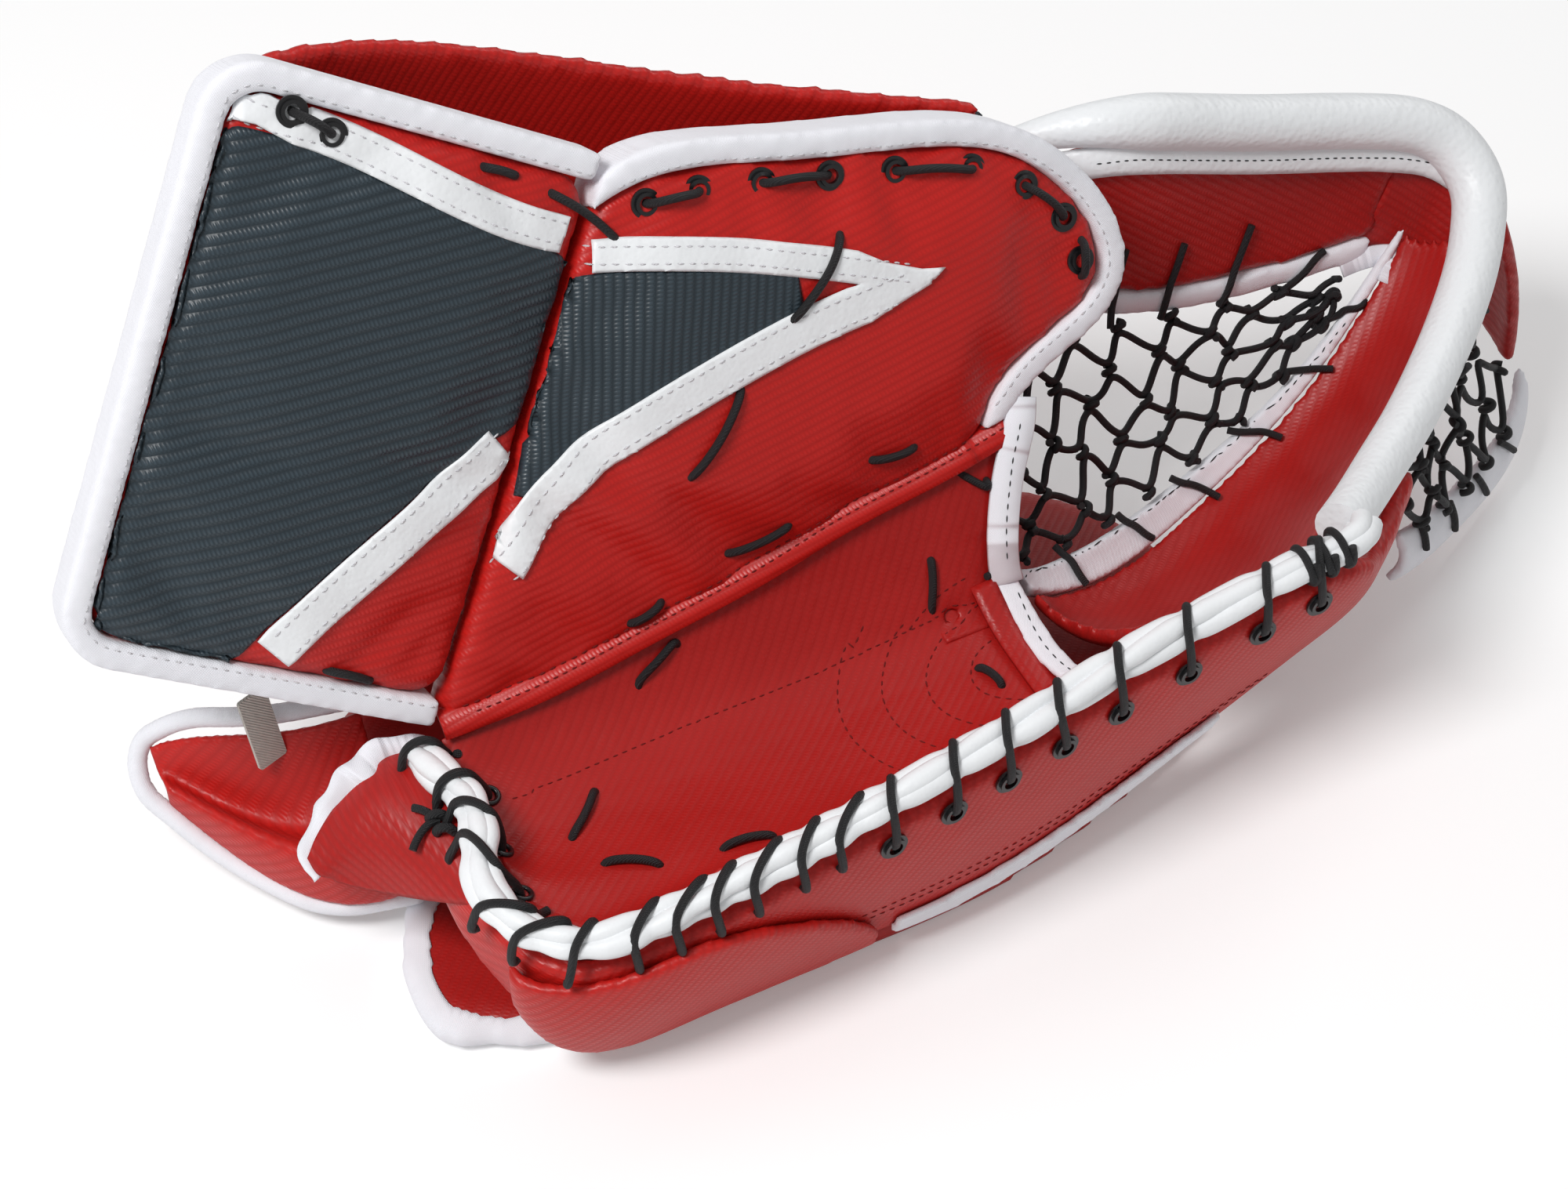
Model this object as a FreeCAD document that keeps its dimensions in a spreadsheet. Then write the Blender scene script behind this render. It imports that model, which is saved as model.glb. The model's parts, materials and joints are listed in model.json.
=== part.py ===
"""Goalie catch glove for the left hand, lying on its back pad with the pocket up.

+X runs from the wrist to the pocket along the break, +Y goes to the thumb side and +Z is up.
The origin is on the floor below the break, on the flat underside of the back pad.
Lengths are in millimetres.
"""
import FreeCAD
import Part
import Sketcher
import math
import os
from FreeCAD import Placement, Rotation, Vector

os.makedirs("parts", exist_ok=True)
doc = FreeCAD.newDocument("CatchGlove")

# ---------------------------------------------------------------- driving sizes
SIZES = [
    ("break_height", 70, "height of the break line, which the thumb turns about"),
    ("board_lean", 25.5, "thumb and cuff boards lean back from upright, degrees"),
    ("thumb_thickness", 18, "padded thumb board"),
    ("thumb_top", 146, "break to the top edge of the thumb board"),
    ("thumb_reach", 133, "origin to the thumb tip along the break"),
    ("cuff_length", 170, "cuff board along the crease"),
    ("cuff_width", 114, "cuff board from the crease to its free edge"),
    ("cuff_thickness", 15, "padded cuff board"),
    ("cuff_corner", 17, "rounded corners of the cuff board"),
    ("crease_angle", 58.7, "crease against the break, degrees"),
    ("crease_gap", 1.2, "cuff board to thumb board at the crease"),
    ("edge_round", 5, "soft edges of the two boards"),
    ("binding_width", 8, "cloth binding that folds over an edge"),
    ("binding_rise", 1.2, "binding above the face it is sewn on"),
    ("overlay", 0.8, "thickness of a vinyl panel sewn on a board"),
    ("stripe_width", 12, "white stripes of the boards"),
    ("eyelet_flange", 4.4, "eyelet flange radius"),
    ("eyelet_bore", 2.2, "eyelet hole radius"),
    ("eyelet_height", 1.6, "eyelet flange above the skin"),
    ("lace_radius", 1.2, "waxed lace"),
    ("heel_reach", 119, "origin to the heel edge"),
    ("front_reach", 87, "break to the finger-side edge in front"),
    ("palm_reach", 66, "origin to the end of the palm"),
    ("palm_floor", 50.5, "height of the palm face over the floor"),
    ("lining", 2.4, "leather of the palm"),
    ("palm_padding", 7.5, "foam under the palm leather"),
    ("rim_rise", 34, "the front edge climbs this much towards the pocket"),
    ("rope_radius", 5.6, "rolled edge that the perimeter lace binds"),
    ("wall_thickness", 6, "padded finger-side wall"),
    ("back_thickness", 11, "back pad"),
    ("back_reach", 86, "break to the rear edge of the back pad"),
    ("back_round", 4, "soft edge of the back pad"),
    ("shell_thickness", 4.5, "back shell"),
    ("shell_foot", 62, "lower edge of the back shell"),
    ("stall_bore", 15.5, "thumb stall, inside radius"),
    ("stall_wall", 2, "thumb stall leather"),
    ("stall_length", 105, "thumb stall"),
    ("divider", 1.6, "leather between two finger stalls"),
    ("divider_length", 92, "finger stall"),
    ("finger_pitch", 20, "one finger stall to the next"),
    ("pocket_reach", 268, "origin to the corner of the T"),
    ("roll_radius", 9, "padded roll round the pocket"),
    ("bar_thickness", 7, "panel of the T bar"),
    ("stem_thickness", 5, "stem band of the pocket"),
    ("net_lace", 2.4, "skate lace of the nets"),
    ("band_width", 20, "outer band of the pocket"),
    ("strap_thickness", 3, "hand strap at the heel"),
    ("strap_height", 50, "hand strap at the heel"),
    ("flap_thickness", 3, "wrist flap"),
    ("seat", 0.3, "clearance between sewn pieces"),
]

sheet = doc.addObject("Spreadsheet::Sheet", "Sizes")
for row, (alias, number, note) in enumerate(SIZES, start=1):
    sheet.set(f"A{row}", note)
    sheet.set(f"B{row}", str(number))
    sheet.setAlias(f"B{row}", alias)
doc.recompute()


class Size:
    """A size of the sheet, or a sum of such sizes, as a value and as an expression."""

    def __init__(self, text, value):
        self.text = text
        self.value = float(value)

    @staticmethod
    def of(other):
        return other if isinstance(other, Size) else Size(str(other), other)

    def join(self, other, sign, value):
        return Size(f"({self.text} {sign} {Size.of(other).text})", value)

    def __add__(self, other):
        return self.join(other, "+", self.value + float(other))

    def __sub__(self, other):
        return self.join(other, "-", self.value - float(other))

    def __mul__(self, other):
        return self.join(other, "*", self.value * float(other))

    def __truediv__(self, other):
        return self.join(other, "/", self.value / float(other))

    def __radd__(self, other):
        return Size.of(other) + self

    def __rsub__(self, other):
        return Size.of(other) - self

    __rmul__ = __mul__

    def __neg__(self):
        return Size(f"(0 - {self.text})", -self.value)

    def __float__(self):
        return self.value


class Sheet:
    """Gives each size of the sheet by its name."""

    def __getattr__(self, alias):
        return Size(f"Sizes.{alias}", sheet.get(alias))


size = Sheet()
X = Vector(1, 0, 0)
Y = Vector(0, 1, 0)
Z = Vector(0, 0, 1)
LEAN = math.radians(float(size.board_lean))
BREAK = float(size.break_height)
SEAT = float(size.seat)


# ---------------------------------------------------------------- helpers
def spline(points):
    """A smooth edge through the points, or a straight one through two."""
    if len(points) == 2:
        return Part.makeLine(points[0], points[1])
    curve = Part.BSplineCurve()
    curve.interpolate(points)
    return curve.toShape()


def along(points, count):
    """Points evenly spaced along the smooth curve through the given ones."""
    edge = spline([Vector(*p) for p in points])
    return edge.discretize(count)


def between(table, x):
    """Straight-line reading of a table of (x, value) pairs."""
    if x <= table[0][0]:
        return table[0][1]
    for (x0, v0), (x1, v1) in zip(table, table[1:]):
        if x <= x1:
            return v0 + (v1 - v0) * (x - x0) / (x1 - x0)
    return table[-1][1]


def face_of(*runs):
    """A flat face inside smooth runs of points that follow each other."""
    edges = [spline([Vector(*p) for p in run]) for run in runs]
    return Part.Face(Part.Wire(edges))


def slab(face, low, high):
    """A face in the XY plane, raised from low to high."""
    solid = face.extrude(Vector(0, 0, high - low))
    solid.translate(Vector(0, 0, low))
    return solid


def leaf(points, across, thickness):
    """Closed section of a bent sheet: a curve in the plane normal to across, and its offset."""
    inner = []
    for i, point in enumerate(points):
        before = points[max(i - 1, 0)]
        after = points[min(i + 1, len(points) - 1)]
        tangent = (after - before).normalize()
        inner.append(point + across.cross(tangent) * thickness)
    sides = [
        spline(points),
        Part.makeLine(points[-1], inner[-1]),
        spline(inner[::-1]),
        Part.makeLine(inner[0], points[0]),
    ]
    return Part.Wire(sides)


def bent_sheet(sections):
    """A smooth solid through closed sections."""
    solid = Part.makeLoft(sections, True, False)
    if solid.Volume < 0:
        solid.reverse()
    return solid


def soft_path(points, share=0.45):
    """Straight runs joined by tangent arcs, each as large as its runs allow."""
    edges = []
    start = points[0]
    for before, corner, after in zip(points, points[1:], points[2:]):
        back = before - corner
        ahead = after - corner
        turn = math.pi - back.getAngle(ahead)
        if turn < 0.02:
            continue
        cut = share * min(back.Length, ahead.Length)
        first = corner + back.normalize() * cut
        last = corner + ahead.normalize() * cut
        radius = cut / math.tan(turn / 2)
        inward = (first + last) * 0.5 - corner
        centre = corner + inward.normalize() * math.hypot(radius, cut)
        middle = centre + (corner - centre).normalize() * radius
        if (first - start).Length > 0.01:
            edges.append(Part.makeLine(start, first))
        edges.append(Part.Arc(first, middle, last).toShape())
        start = last
    edges.append(Part.makeLine(start, points[-1]))
    return Part.Wire(edges)


def tube(points, radius):
    """A round cord or roll along straight runs and tangent arcs."""
    path = soft_path(points)
    heading = points[1] - points[0]
    ring = Part.Wire(Part.makeCircle(radius, points[0], heading))
    return path.makePipeShell([ring], True, False)


def stick(start, end, radius):
    """A short straight stretch of lace."""
    run = end - start
    return Part.makeCylinder(radius, run.Length, start, run)


def bar_of(start, end, width, lift):
    """A square strand from start to end, shifted sideways by lift."""
    run = end - start
    box = Part.makeBox(run.Length, width, width, Vector(0, -width / 2, -width / 2))
    box.Placement = Placement(start + lift, Rotation(X, run))
    return box


def loop(centre, heading, across, reach, depth, thickness, width):
    """An eight-sided turn of lace round an edge: reach and depth are its inside half sizes."""
    side = heading.cross(across).normalize()
    along_loop = across - heading * across.dot(heading)
    along_loop.normalize()

    def ring(grow):
        corners = []
        for k in range(8):
            angle = math.radians(22.5 + 45 * k)
            push = 1 / math.cos(math.radians(22.5))
            u = math.cos(angle) * (reach + grow) * push
            v = math.sin(angle) * (depth + grow) * push
            corners.append(centre + along_loop * u + side * v)
        return Part.makePolygon(corners + corners[:1])

    full = Part.Face(ring(thickness)).extrude(heading * width)
    hole = Part.Face(ring(0)).extrude(heading * width)
    solid = full.cut(hole)
    solid.translate(heading * (-width / 2))
    return solid


def eyelet(place, normal):
    """A pressed ring: flange on the skin, with a rounded lip and a hole."""
    flange = float(size.eyelet_flange)
    bore = float(size.eyelet_bore)
    height = float(size.eyelet_height)
    lip = (flange + bore) / 2
    profile = [
        Vector(bore, 0, 0), Vector(flange, 0, 0), Vector(flange, 0, height * 0.45),
        Vector(lip, 0, height * 0.45), Vector(lip, 0, height), Vector(bore, 0, height),
    ]
    ring = Part.Face(Part.makePolygon(profile + profile[:1])).revolve(Vector(), Z, 360)
    ring.Placement = Placement(place, Rotation(Z, normal))
    return ring


def add(label, shape, placement=None):
    """A sub-part whose shape is made here."""
    feature = doc.addObject("Part::Feature", label)
    feature.Label = label
    feature.Shape = shape
    if placement is not None:
        feature.Placement = placement.multiply(shape.Placement)
    return feature


def origin_plane(body, role):
    for plane in body.Origin.OriginFeatures:
        if plane.Role == role:
            return plane
    raise ValueError(role)


def rounded_sketch(body, name, left, low, wide, high, corner, role="XY_Plane"):
    """A rectangle with four equal round corners, bound to the sheet."""
    sketch = body.newObject("Sketcher::SketchObject", name)
    sketch.AttachmentSupport = [(origin_plane(body, role), "")]
    sketch.MapMode = "FlatFace"
    x0 = float(left)
    y0 = float(low)
    x1 = x0 + float(wide)
    y1 = y0 + float(high)
    bend = float(corner)
    turns = [
        (x1 - bend, y0 + bend, 270),
        (x1 - bend, y1 - bend, 0),
        (x0 + bend, y1 - bend, 90),
        (x0 + bend, y0 + bend, 180),
    ]
    arcs = []
    for cx, cy, start in turns:
        circle = Part.Circle(Vector(cx, cy, 0), Z, bend)
        first = math.radians(start)
        arc = Part.ArcOfCircle(circle, first, first + math.pi / 2)
        arcs.append(sketch.addGeometry(arc, False))
    ends = [
        (Vector(x0 + bend, y0, 0), Vector(x1 - bend, y0, 0)),
        (Vector(x1, y0 + bend, 0), Vector(x1, y1 - bend, 0)),
        (Vector(x1 - bend, y1, 0), Vector(x0 + bend, y1, 0)),
        (Vector(x0, y1 - bend, 0), Vector(x0, y0 + bend, 0)),
    ]
    lines = [sketch.addGeometry(Part.LineSegment(a, b), False) for a, b in ends]
    rule = Sketcher.Constraint
    for k in range(4):
        sketch.addConstraint(rule("Tangent", lines[k], 2, arcs[k], 1))
        sketch.addConstraint(rule("Tangent", arcs[k], 2, lines[(k + 1) % 4], 1))
    sketch.addConstraint(rule("Horizontal", lines[0]))
    sketch.addConstraint(rule("Vertical", lines[1]))
    sketch.addConstraint(rule("Horizontal", lines[2]))
    sketch.addConstraint(rule("Vertical", lines[3]))
    for k in range(3):
        sketch.addConstraint(rule("Equal", arcs[k], arcs[k + 1]))
    driven = [
        (rule("Radius", arcs[0], bend), corner),
        (rule("DistanceX", arcs[3], 1, arcs[0], 2, x1 - x0), wide),
        (rule("DistanceY", arcs[0], 1, arcs[1], 2, y1 - y0), high),
    ]
    for made, bound in driven:
        index = sketch.addConstraint(made)
        sketch.setExpression(f"Constraints[{index}]", Size.of(bound).text)
    return sketch, arcs, rule


def plate(label, left, low, wide, high, corner, depth, place, round_edge=None):
    """A padded plate with round corners: a Pad with softened edges."""
    body = doc.addObject("PartDesign::Body", label)
    body.Label = label
    sketch, arcs, rule = rounded_sketch(
        body, label + "_outline", left, low, wide, high, corner)
    index = sketch.addConstraint(rule("DistanceX", -1, 1, arcs[3], 1, float(left)))
    sketch.setExpression(f"Constraints[{index}]", Size.of(left).text)
    index = sketch.addConstraint(rule("DistanceY", -1, 1, arcs[0], 1, float(low)))
    sketch.setExpression(f"Constraints[{index}]", Size.of(low).text)
    pad = body.newObject("PartDesign::Pad", label + "_pad")
    pad.Profile = sketch
    pad.setExpression("Length", Size.of(depth).text)
    sketch.Visibility = False
    doc.recompute()
    if round_edge is not None:
        names = flat_edges(pad.Shape)
        soft = body.newObject("PartDesign::Fillet", label + "_round")
        soft.Base = (pad, names)
        soft.setExpression("Radius", Size.of(round_edge).text)
        doc.recompute()
    body.Placement = place
    return body


def flat_edges(shape):
    """Names of the edges round the top and bottom faces."""
    low = shape.BoundBox.ZMin
    high = shape.BoundBox.ZMax
    names = []
    for number, edge in enumerate(shape.Edges, start=1):
        box = edge.BoundBox
        level = box.ZMax - box.ZMin < 0.01
        if level and (abs(box.ZMin - low) < 0.01 or abs(box.ZMin - high) < 0.01):
            names.append(f"Edge{number}")
    return names


# ---------------------------------------------------------------- frames of the two boards
BOARD = Placement(Vector(0, 0, BREAK), Rotation(X, 90 - float(size.board_lean)))
HEEL_X = -float(size.heel_reach) + 10
CREASE = Placement(Vector(HEEL_X, 3, 0), Rotation(Z, float(size.crease_angle)))
CUFF = BOARD.multiply(CREASE)
TOP = float(size.thumb_top)
TIP = float(size.thumb_reach)
FRONT = float(size.front_reach)
HEEL = float(size.heel_reach)
FLOOR = float(size.palm_floor)
RISE = float(size.rim_rise)


def on_board(along_break, up, out=0.0):
    """A point of the thumb board: along the break, up the board and out of its face."""
    return BOARD.multVec(Vector(along_break, up, out))


def on_cuff(along_crease, away, out=0.0):
    return CUFF.multVec(Vector(along_crease, away, out))


# ---------------------------------------------------------------- thumb board
thick = float(size.thumb_thickness)
rise = float(size.binding_rise)
inset = float(size.binding_width)

crease_foot = (HEEL_X, 3, 0)
lean_x = math.cos(math.radians(float(size.crease_angle)))
lean_y = math.sin(math.radians(float(size.crease_angle)))
crease_run = (TOP - 6 - 3) / lean_y


def crease_point(run):
    return (HEEL_X + lean_x * run, 3 + lean_y * run, 0)


thumb_outer = [
    crease_point(crease_run + 2), (-14, TOP, 0), (6, TOP - 1, 0), (32, TOP - 7, 0),
    (61, TOP - 13, 0), (TIP - 50, TOP - 18, 0), (TIP - 27, TOP - 28, 0),
    (TIP - 10, TOP - 45, 0), (TIP - 1, TOP - 64, 0), (TIP - 1, TOP - 79, 0),
    (TIP - 9, TOP - 90, 0), (TIP - 22, TOP - 97, 0), (TIP - 36, TOP - 103, 0),
    (TIP - 48, TOP - 112, 0),
]


def inner_run(run, width):
    """The run moved sideways by width, to its right."""
    moved = []
    for i, point in enumerate(run):
        a = Vector(*run[max(i - 1, 0)])
        b = Vector(*run[min(i + 1, len(run) - 1)])
        right = (b - a).normalize().cross(Z)
        spot = Vector(*point) + right * width
        moved.append((spot.x, spot.y, 0))
    return moved


thumb_inner = inner_run(thumb_outer, inset)
thumb_inner[0] = crease_point(crease_run - inset)
seam_run = [
    (TIP - 48, TOP - 112, 0), (60, 26, 0), (27, 21, 0), (-6, 14, 0),
    (-40, 9, 0), (-74, 4, 0), crease_foot,
]
seam_inner = [(TIP - 57, TOP - 115, 0)] + seam_run[1:]
thumb_inner[-1] = seam_inner[0]

core = slab(face_of([crease_foot, thumb_inner[0]], thumb_inner, seam_inner), -thick, 0)
crease_edges = [
    edge for edge in core.Edges
    if edge.BoundBox.ZLength < 0.01 and abs(edge.Length - crease_run + inset) < 0.5
]
core = core.makeFillet(float(size.edge_round), crease_edges)
add("thumb_board", core, BOARD)

ends = [[thumb_outer[0], thumb_inner[0]], [thumb_inner[-1], thumb_outer[-1]]]
trim = slab(face_of(thumb_outer, ends[1][::-1], thumb_inner[::-1], ends[0][::-1]),
            -thick - rise, rise)
add("thumb_binding", trim, BOARD)

half = float(size.stripe_width) / 2
skin = float(size.overlay)


def stripe(centre, width_half, height):
    """A sewn stripe along a run, narrowing to nothing where half widths are given as such."""
    upper = []
    lower = []
    for i, point in enumerate(centre):
        a = Vector(*centre[max(i - 1, 0)])
        b = Vector(*centre[min(i + 1, len(centre) - 1)])
        side = Z.cross((b - a).normalize())
        spot = Vector(*point)
        up = spot + side * width_half
        down = spot - side * width_half
        upper.append((up.x, up.y, 0))
        lower.append((down.x, down.y, 0))
    return slab(face_of(upper, [upper[-1], lower[-1]], lower[::-1], [lower[0], upper[0]]),
                SEAT / 3, height)


chevron_top = [(-32, TOP - 23.5, 0), (2, TOP - 32.5, 0), (38, TOP - 47, 0), (67, TOP - 60, 0)]
chevron_low = [(-78, TOP - 102, 0), (-44, TOP - 77.5, 0), (-9, TOP - 68, 0), (24, TOP - 62, 0)]
chevron_low = chevron_low + [(50, TOP - 60, 0), (64, TOP - 60.5, 0)]
upper_arm = stripe(chevron_top, half * 0.75, skin * 1.5)
lower_arm = stripe(chevron_low, half, skin * 1.5)
add("thumb_stripes", upper_arm.fuse(lower_arm).removeSplitter(), BOARD)

dark_top = [(-38, TOP - 30, 0), (0, TOP - 40, 0), (22, TOP - 47, 0)]
dark_low = [(22, TOP - 55.5, 0), (-8, TOP - 60, 0), (-42, TOP - 68.5, 0), (-69, TOP - 84, 0)]
dark = face_of(dark_top, [dark_top[-1], dark_low[0]], dark_low, [dark_low[-1], dark_top[0]])
add("thumb_dark_panel", slab(dark, SEAT / 3, skin), BOARD)

thumb_holes = [
    (-13, TOP - 14), (3, TOP - 15), (22, TOP - 18.5), (43, TOP - 22.8), (63, TOP - 27.5),
    (TIP - 46, TOP - 34), (TIP - 30, TOP - 44), (TIP - 19, TOP - 57.5), (TIP - 15.8, TOP - 72),
]
rings = [eyelet(Vector(a, b, SEAT / 3), Z) for a, b in thumb_holes]
add("thumb_eyelets", Part.makeCompound(rings), BOARD)
wire = float(size.lace_radius)
lace_level = float(size.eyelet_height) + wire + SEAT
runs = []
for one, two in zip(thumb_holes[0:8:2], thumb_holes[1:8:2]):
    runs.append(stick(Vector(*one, lace_level), Vector(*two, lace_level), wire))
last = thumb_holes[8]
runs.append(stick(Vector(last[0], last[1] - 4, lace_level),
                  Vector(last[0] + 1, last[1] + 7, lace_level), wire))
add("thumb_edge_laces", Part.makeCompound(runs), BOARD)
ties = [
    ((41, TOP - 39), (20, TOP - 58), 1), ((1, TOP - 73), (-20, TOP - 94), 0),
    ((52, 36), (37, 37), 0), ((8, 26), (-12, 23), 0), ((-35, 16), (-46, 13), 0),
]
runs = []
for one, two, over in ties:
    level = wire + SEAT + over * skin * 1.5
    runs.append(stick(Vector(*one, level), Vector(*two, level), wire))
add("thumb_ties", Part.makeCompound(runs), BOARD)

# thumb stall: an open leather tube behind the board
bore = float(size.stall_bore)
stall_out = bore + float(size.stall_wall)
stall_at = Vector(-8, 0, 0) + on_board(0, 60, -thick - stall_out - SEAT)
barrel = doc.addObject("Part::Cylinder", "stall_barrel")
barrel.setExpression("Radius", (size.stall_bore + size.stall_wall).text)
barrel.setExpression("Height", size.stall_length.text)
bored = doc.addObject("Part::Cylinder", "stall_bore_tool")
bored.setExpression("Radius", size.stall_bore.text)
bored.setExpression("Height", (size.stall_length - size.stall_wall).text)
stall = doc.addObject("Part::Cut", "thumb_stall")
stall.Label = "thumb_stall"
stall.Base = barrel
stall.Tool = bored
stall.Placement = Placement(stall_at, Rotation(Z, X))

# back shell: one bent panel behind both boards
shell = float(size.shell_thickness)
foot = float(size.shell_foot)
crest = [(-108, 107, 234), (-68, 115, 223), (5, 105, 196), (60, 88, 180), (104, 72, 170)]
sections = []
for x, y, z in crest:
    clear = max(0.0, (x - 20) * 0.22)
    low = Vector(x, 96 - clear, foot)
    mid = Vector(x, max(y, 98 - clear) + 2, foot + (z - foot) * 0.55)
    sections.append(leaf([Vector(x, y, z), mid, low], X, shell))
add("back_shell", bent_sheet(sections))

# ---------------------------------------------------------------- cuff
cuff_rise = float(size.binding_rise)
plate("cuff_board", size.binding_width, size.crease_gap,
      size.cuff_length - 2 * size.binding_width,
      size.cuff_width - size.binding_width - size.crease_gap,
      size.cuff_corner - size.binding_width, size.cuff_thickness,
      CUFF.multiply(Placement(Vector(0, 0, -float(size.cuff_thickness)), Rotation())),
      size.edge_round * 0.8)


def u_trim(length, width, corner, rim, low, high, start):
    """A trim round three sides of a plate, open at the crease."""
    outer = Part.makeBox(length, width - start, high - low, Vector(0, start, low))
    inner = Part.makeBox(length - 2 * rim, width - rim + 20, high - low + 2,
                         Vector(rim, -20, low - 1))
    far = [e for e in outer.Edges
           if e.BoundBox.ZLength > 1 and abs(e.BoundBox.YMin - width) < 0.01]
    outer = outer.makeFillet(corner, far)
    far = [e for e in inner.Edges
           if e.BoundBox.ZLength > 1 and abs(e.BoundBox.YMin - width + rim) < 0.01]
    inner = inner.makeFillet(corner - rim, far)
    return outer.cut(inner)


cuff_long = float(size.cuff_length)
cuff_wide = float(size.cuff_width)
cuff_thick = float(size.cuff_thickness)
add("cuff_binding",
    u_trim(cuff_long, cuff_wide, float(size.cuff_corner), inset,
           -cuff_thick - cuff_rise, cuff_rise, float(size.crease_gap)), CUFF)

top_stripe = [(cuff_long - 14.5, cuff_wide - 15, 0), (cuff_long - 14.5, cuff_wide - 36, 0),
              (cuff_long - 18, 56, 0), (cuff_long - 23, 28, 0), (cuff_long - 24, 7, 0)]
low_stripe = [(84, 7, 0), (66, 20, 0), (47, 34, 0), (29, 46, 0), (13.5, 54, 0)]
pieces = [stripe(top_stripe, half * 0.85, skin * 1.5), stripe(low_stripe, half, skin * 1.5)]
add("cuff_stripes", Part.makeCompound(pieces), CUFF)
dark_a = [(cuff_long - 31, 7, 0), (cuff_long - 30, 30, 0), (cuff_long - 26, 56, 0),
          (cuff_long - 22, cuff_wide - 36, 0), (cuff_long - 21.5, cuff_wide - 9, 0)]
dark_b = [(24, cuff_wide - 9, 0), (9, cuff_wide - 24, 0)]
dark_c = [(9, 66, 0), (33, 54, 0), (51, 42, 0), (70, 28, 0), (92, 7, 0)]
dark = face_of(dark_a, [dark_a[-1], dark_b[0]], dark_b, [dark_b[-1], dark_c[0]], dark_c,
               [dark_c[-1], dark_a[0]])
add("cuff_dark_panel", slab(dark, SEAT / 3, skin), CUFF)
liner_margin = size.binding_width + 2
plate("cuff_liner", liner_margin, liner_margin, size.cuff_length - 2 * liner_margin,
      size.cuff_width - 2 * liner_margin, size.cuff_corner / 2, size.lining,
      CUFF.multiply(Placement(
          Vector(0, 0, -float(size.cuff_thickness + size.lining + size.seat / 2)),
          Rotation())))

holes = [(cuff_long - 11, cuff_wide - 24), (cuff_long - 14, cuff_wide - 36)]
rings = [eyelet(Vector(a, b, skin * 1.5 + SEAT / 3), Z) for a, b in holes]
add("cuff_eyelets", Part.makeCompound(rings), CUFF)
level = lace_level + skin * 1.5
runs = [stick(Vector(*holes[0], level), Vector(*holes[1], level), wire)]
flat = wire + SEAT
runs.append(stick(Vector(cuff_long - 12, 33, flat), Vector(cuff_long - 12, 25, flat), wire))
runs.append(stick(Vector(11, 36, flat), Vector(10, 24, flat), wire))
add("cuff_laces", Part.makeCompound(runs), CUFF)
bridge = [Vector(cuff_long - 14, 12, flat), Vector(cuff_long - 16, 2, flat + 1.6),
          Vector(cuff_long - 22, -9, flat + 1.6)]
add("crease_lace", tube(bridge, wire), CUFF)

# ---------------------------------------------------------------- rim in plan
HIGH = BREAK + RISE
rim = [
    (-HEEL + 4, -7, BREAK - 1), (-HEEL, -22, BREAK), (-HEEL, -48, BREAK - 1),
    (-HEEL + 8, -FRONT + 13, BREAK - 3), (-HEEL + 28, -FRONT + 2, BREAK - 3),
    (-42, -FRONT, BREAK + 5), (27, -FRONT + 4, BREAK + 15), (87, -FRONT + 8, BREAK + 25),
    (142, -FRONT + 8, HIGH),
]
tucks = [2, 0, -2, 6, 9, 11, 7, 13, 22]
feet = [48, 47, 40, 16, 12, 12, 12, 19, 34]


def outward(points, i):
    """Level direction pointing out of the rim at a point of it."""
    a = Vector(*points[max(i - 1, 0)])
    b = Vector(*points[min(i + 1, len(points) - 1)])
    run = b - a
    run.z = 0
    return run.normalize().cross(Z)


wall = float(size.wall_thickness)
rope = float(size.rope_radius)
foot_base = float(size.back_thickness) + SEAT
wall_points = rim + [(162, -70, HIGH - 12), (181, -54, HIGH - 17), (197, -38, HIGH - 20)]
wall_tucks = tucks + [18, 12, 6]
wall_feet = feet + [43, 46, 44]


def run_through(points):
    """A smooth curve that reaches each point at its number."""
    curve = Part.BSplineCurve()
    places = [float(i) for i in range(len(points))]
    curve.interpolate(Points=[Vector(*p) for p in points], Parameters=places)
    return curve


rim_curve = run_through(wall_points)
drop_curve = run_through([(tuck, low, 0) for tuck, low in zip(wall_tucks, wall_feet)])


def rim_out(place):
    """Level direction that points out of the rim."""
    run = rim_curve.tangent(place)[0]
    run.z = 0
    return run.normalize().cross(Z)


def wall_point(place, share, push=0.0):
    """A point on the outside of the finger-side wall, share of the way down it."""
    rim_point = rim_curve.value(place)
    out = rim_out(place)
    tuck, low, nothing = drop_curve.value(place)
    low = low - 12 + foot_base
    high = rim_point.z - rope - 2 * wire - 8 * SEAT
    bulge = 6 * share * (1 - share)
    spot = Vector(rim_point.x, rim_point.y, high + (low - high) * share)
    return spot + out * (rope * 0.5 + push + bulge - tuck * share ** 1.5)


def wall_row(place, push, top_cut=0.0, low_cut=0.0, count=4):
    """Points down the outside of the finger-side wall, pushed out by push."""
    reach = 1 - top_cut - low_cut
    shares = [top_cut + reach * k / (count - 1) for k in range(count)]
    return [wall_point(place, share, push) for share in shares]


sections = []
for half_step in range(2 * len(wall_points) - 1):
    place = half_step / 2
    sections.append(leaf(wall_row(place, 0), Z.cross(rim_out(place)), wall))
add("finger_wall", bent_sheet(sections))
rope_line = [rim_curve.value(k / 2) for k in range(2 * len(rim) - 1)]
add("rope_edge", tube(rope_line, rope))

fine = soft_path(rope_line).discretize(24 * 8 + 1)
turns = []
for i in range(4, len(fine) - 4, 8):
    heading = (fine[i + 1] - fine[i - 1]).normalize()
    room = rope + SEAT * 2
    turns.append(loop(fine[i], heading, Z, room, room, 2 * wire, 2 * wire))
add("perimeter_lace", Part.makeCompound(turns))

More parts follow.
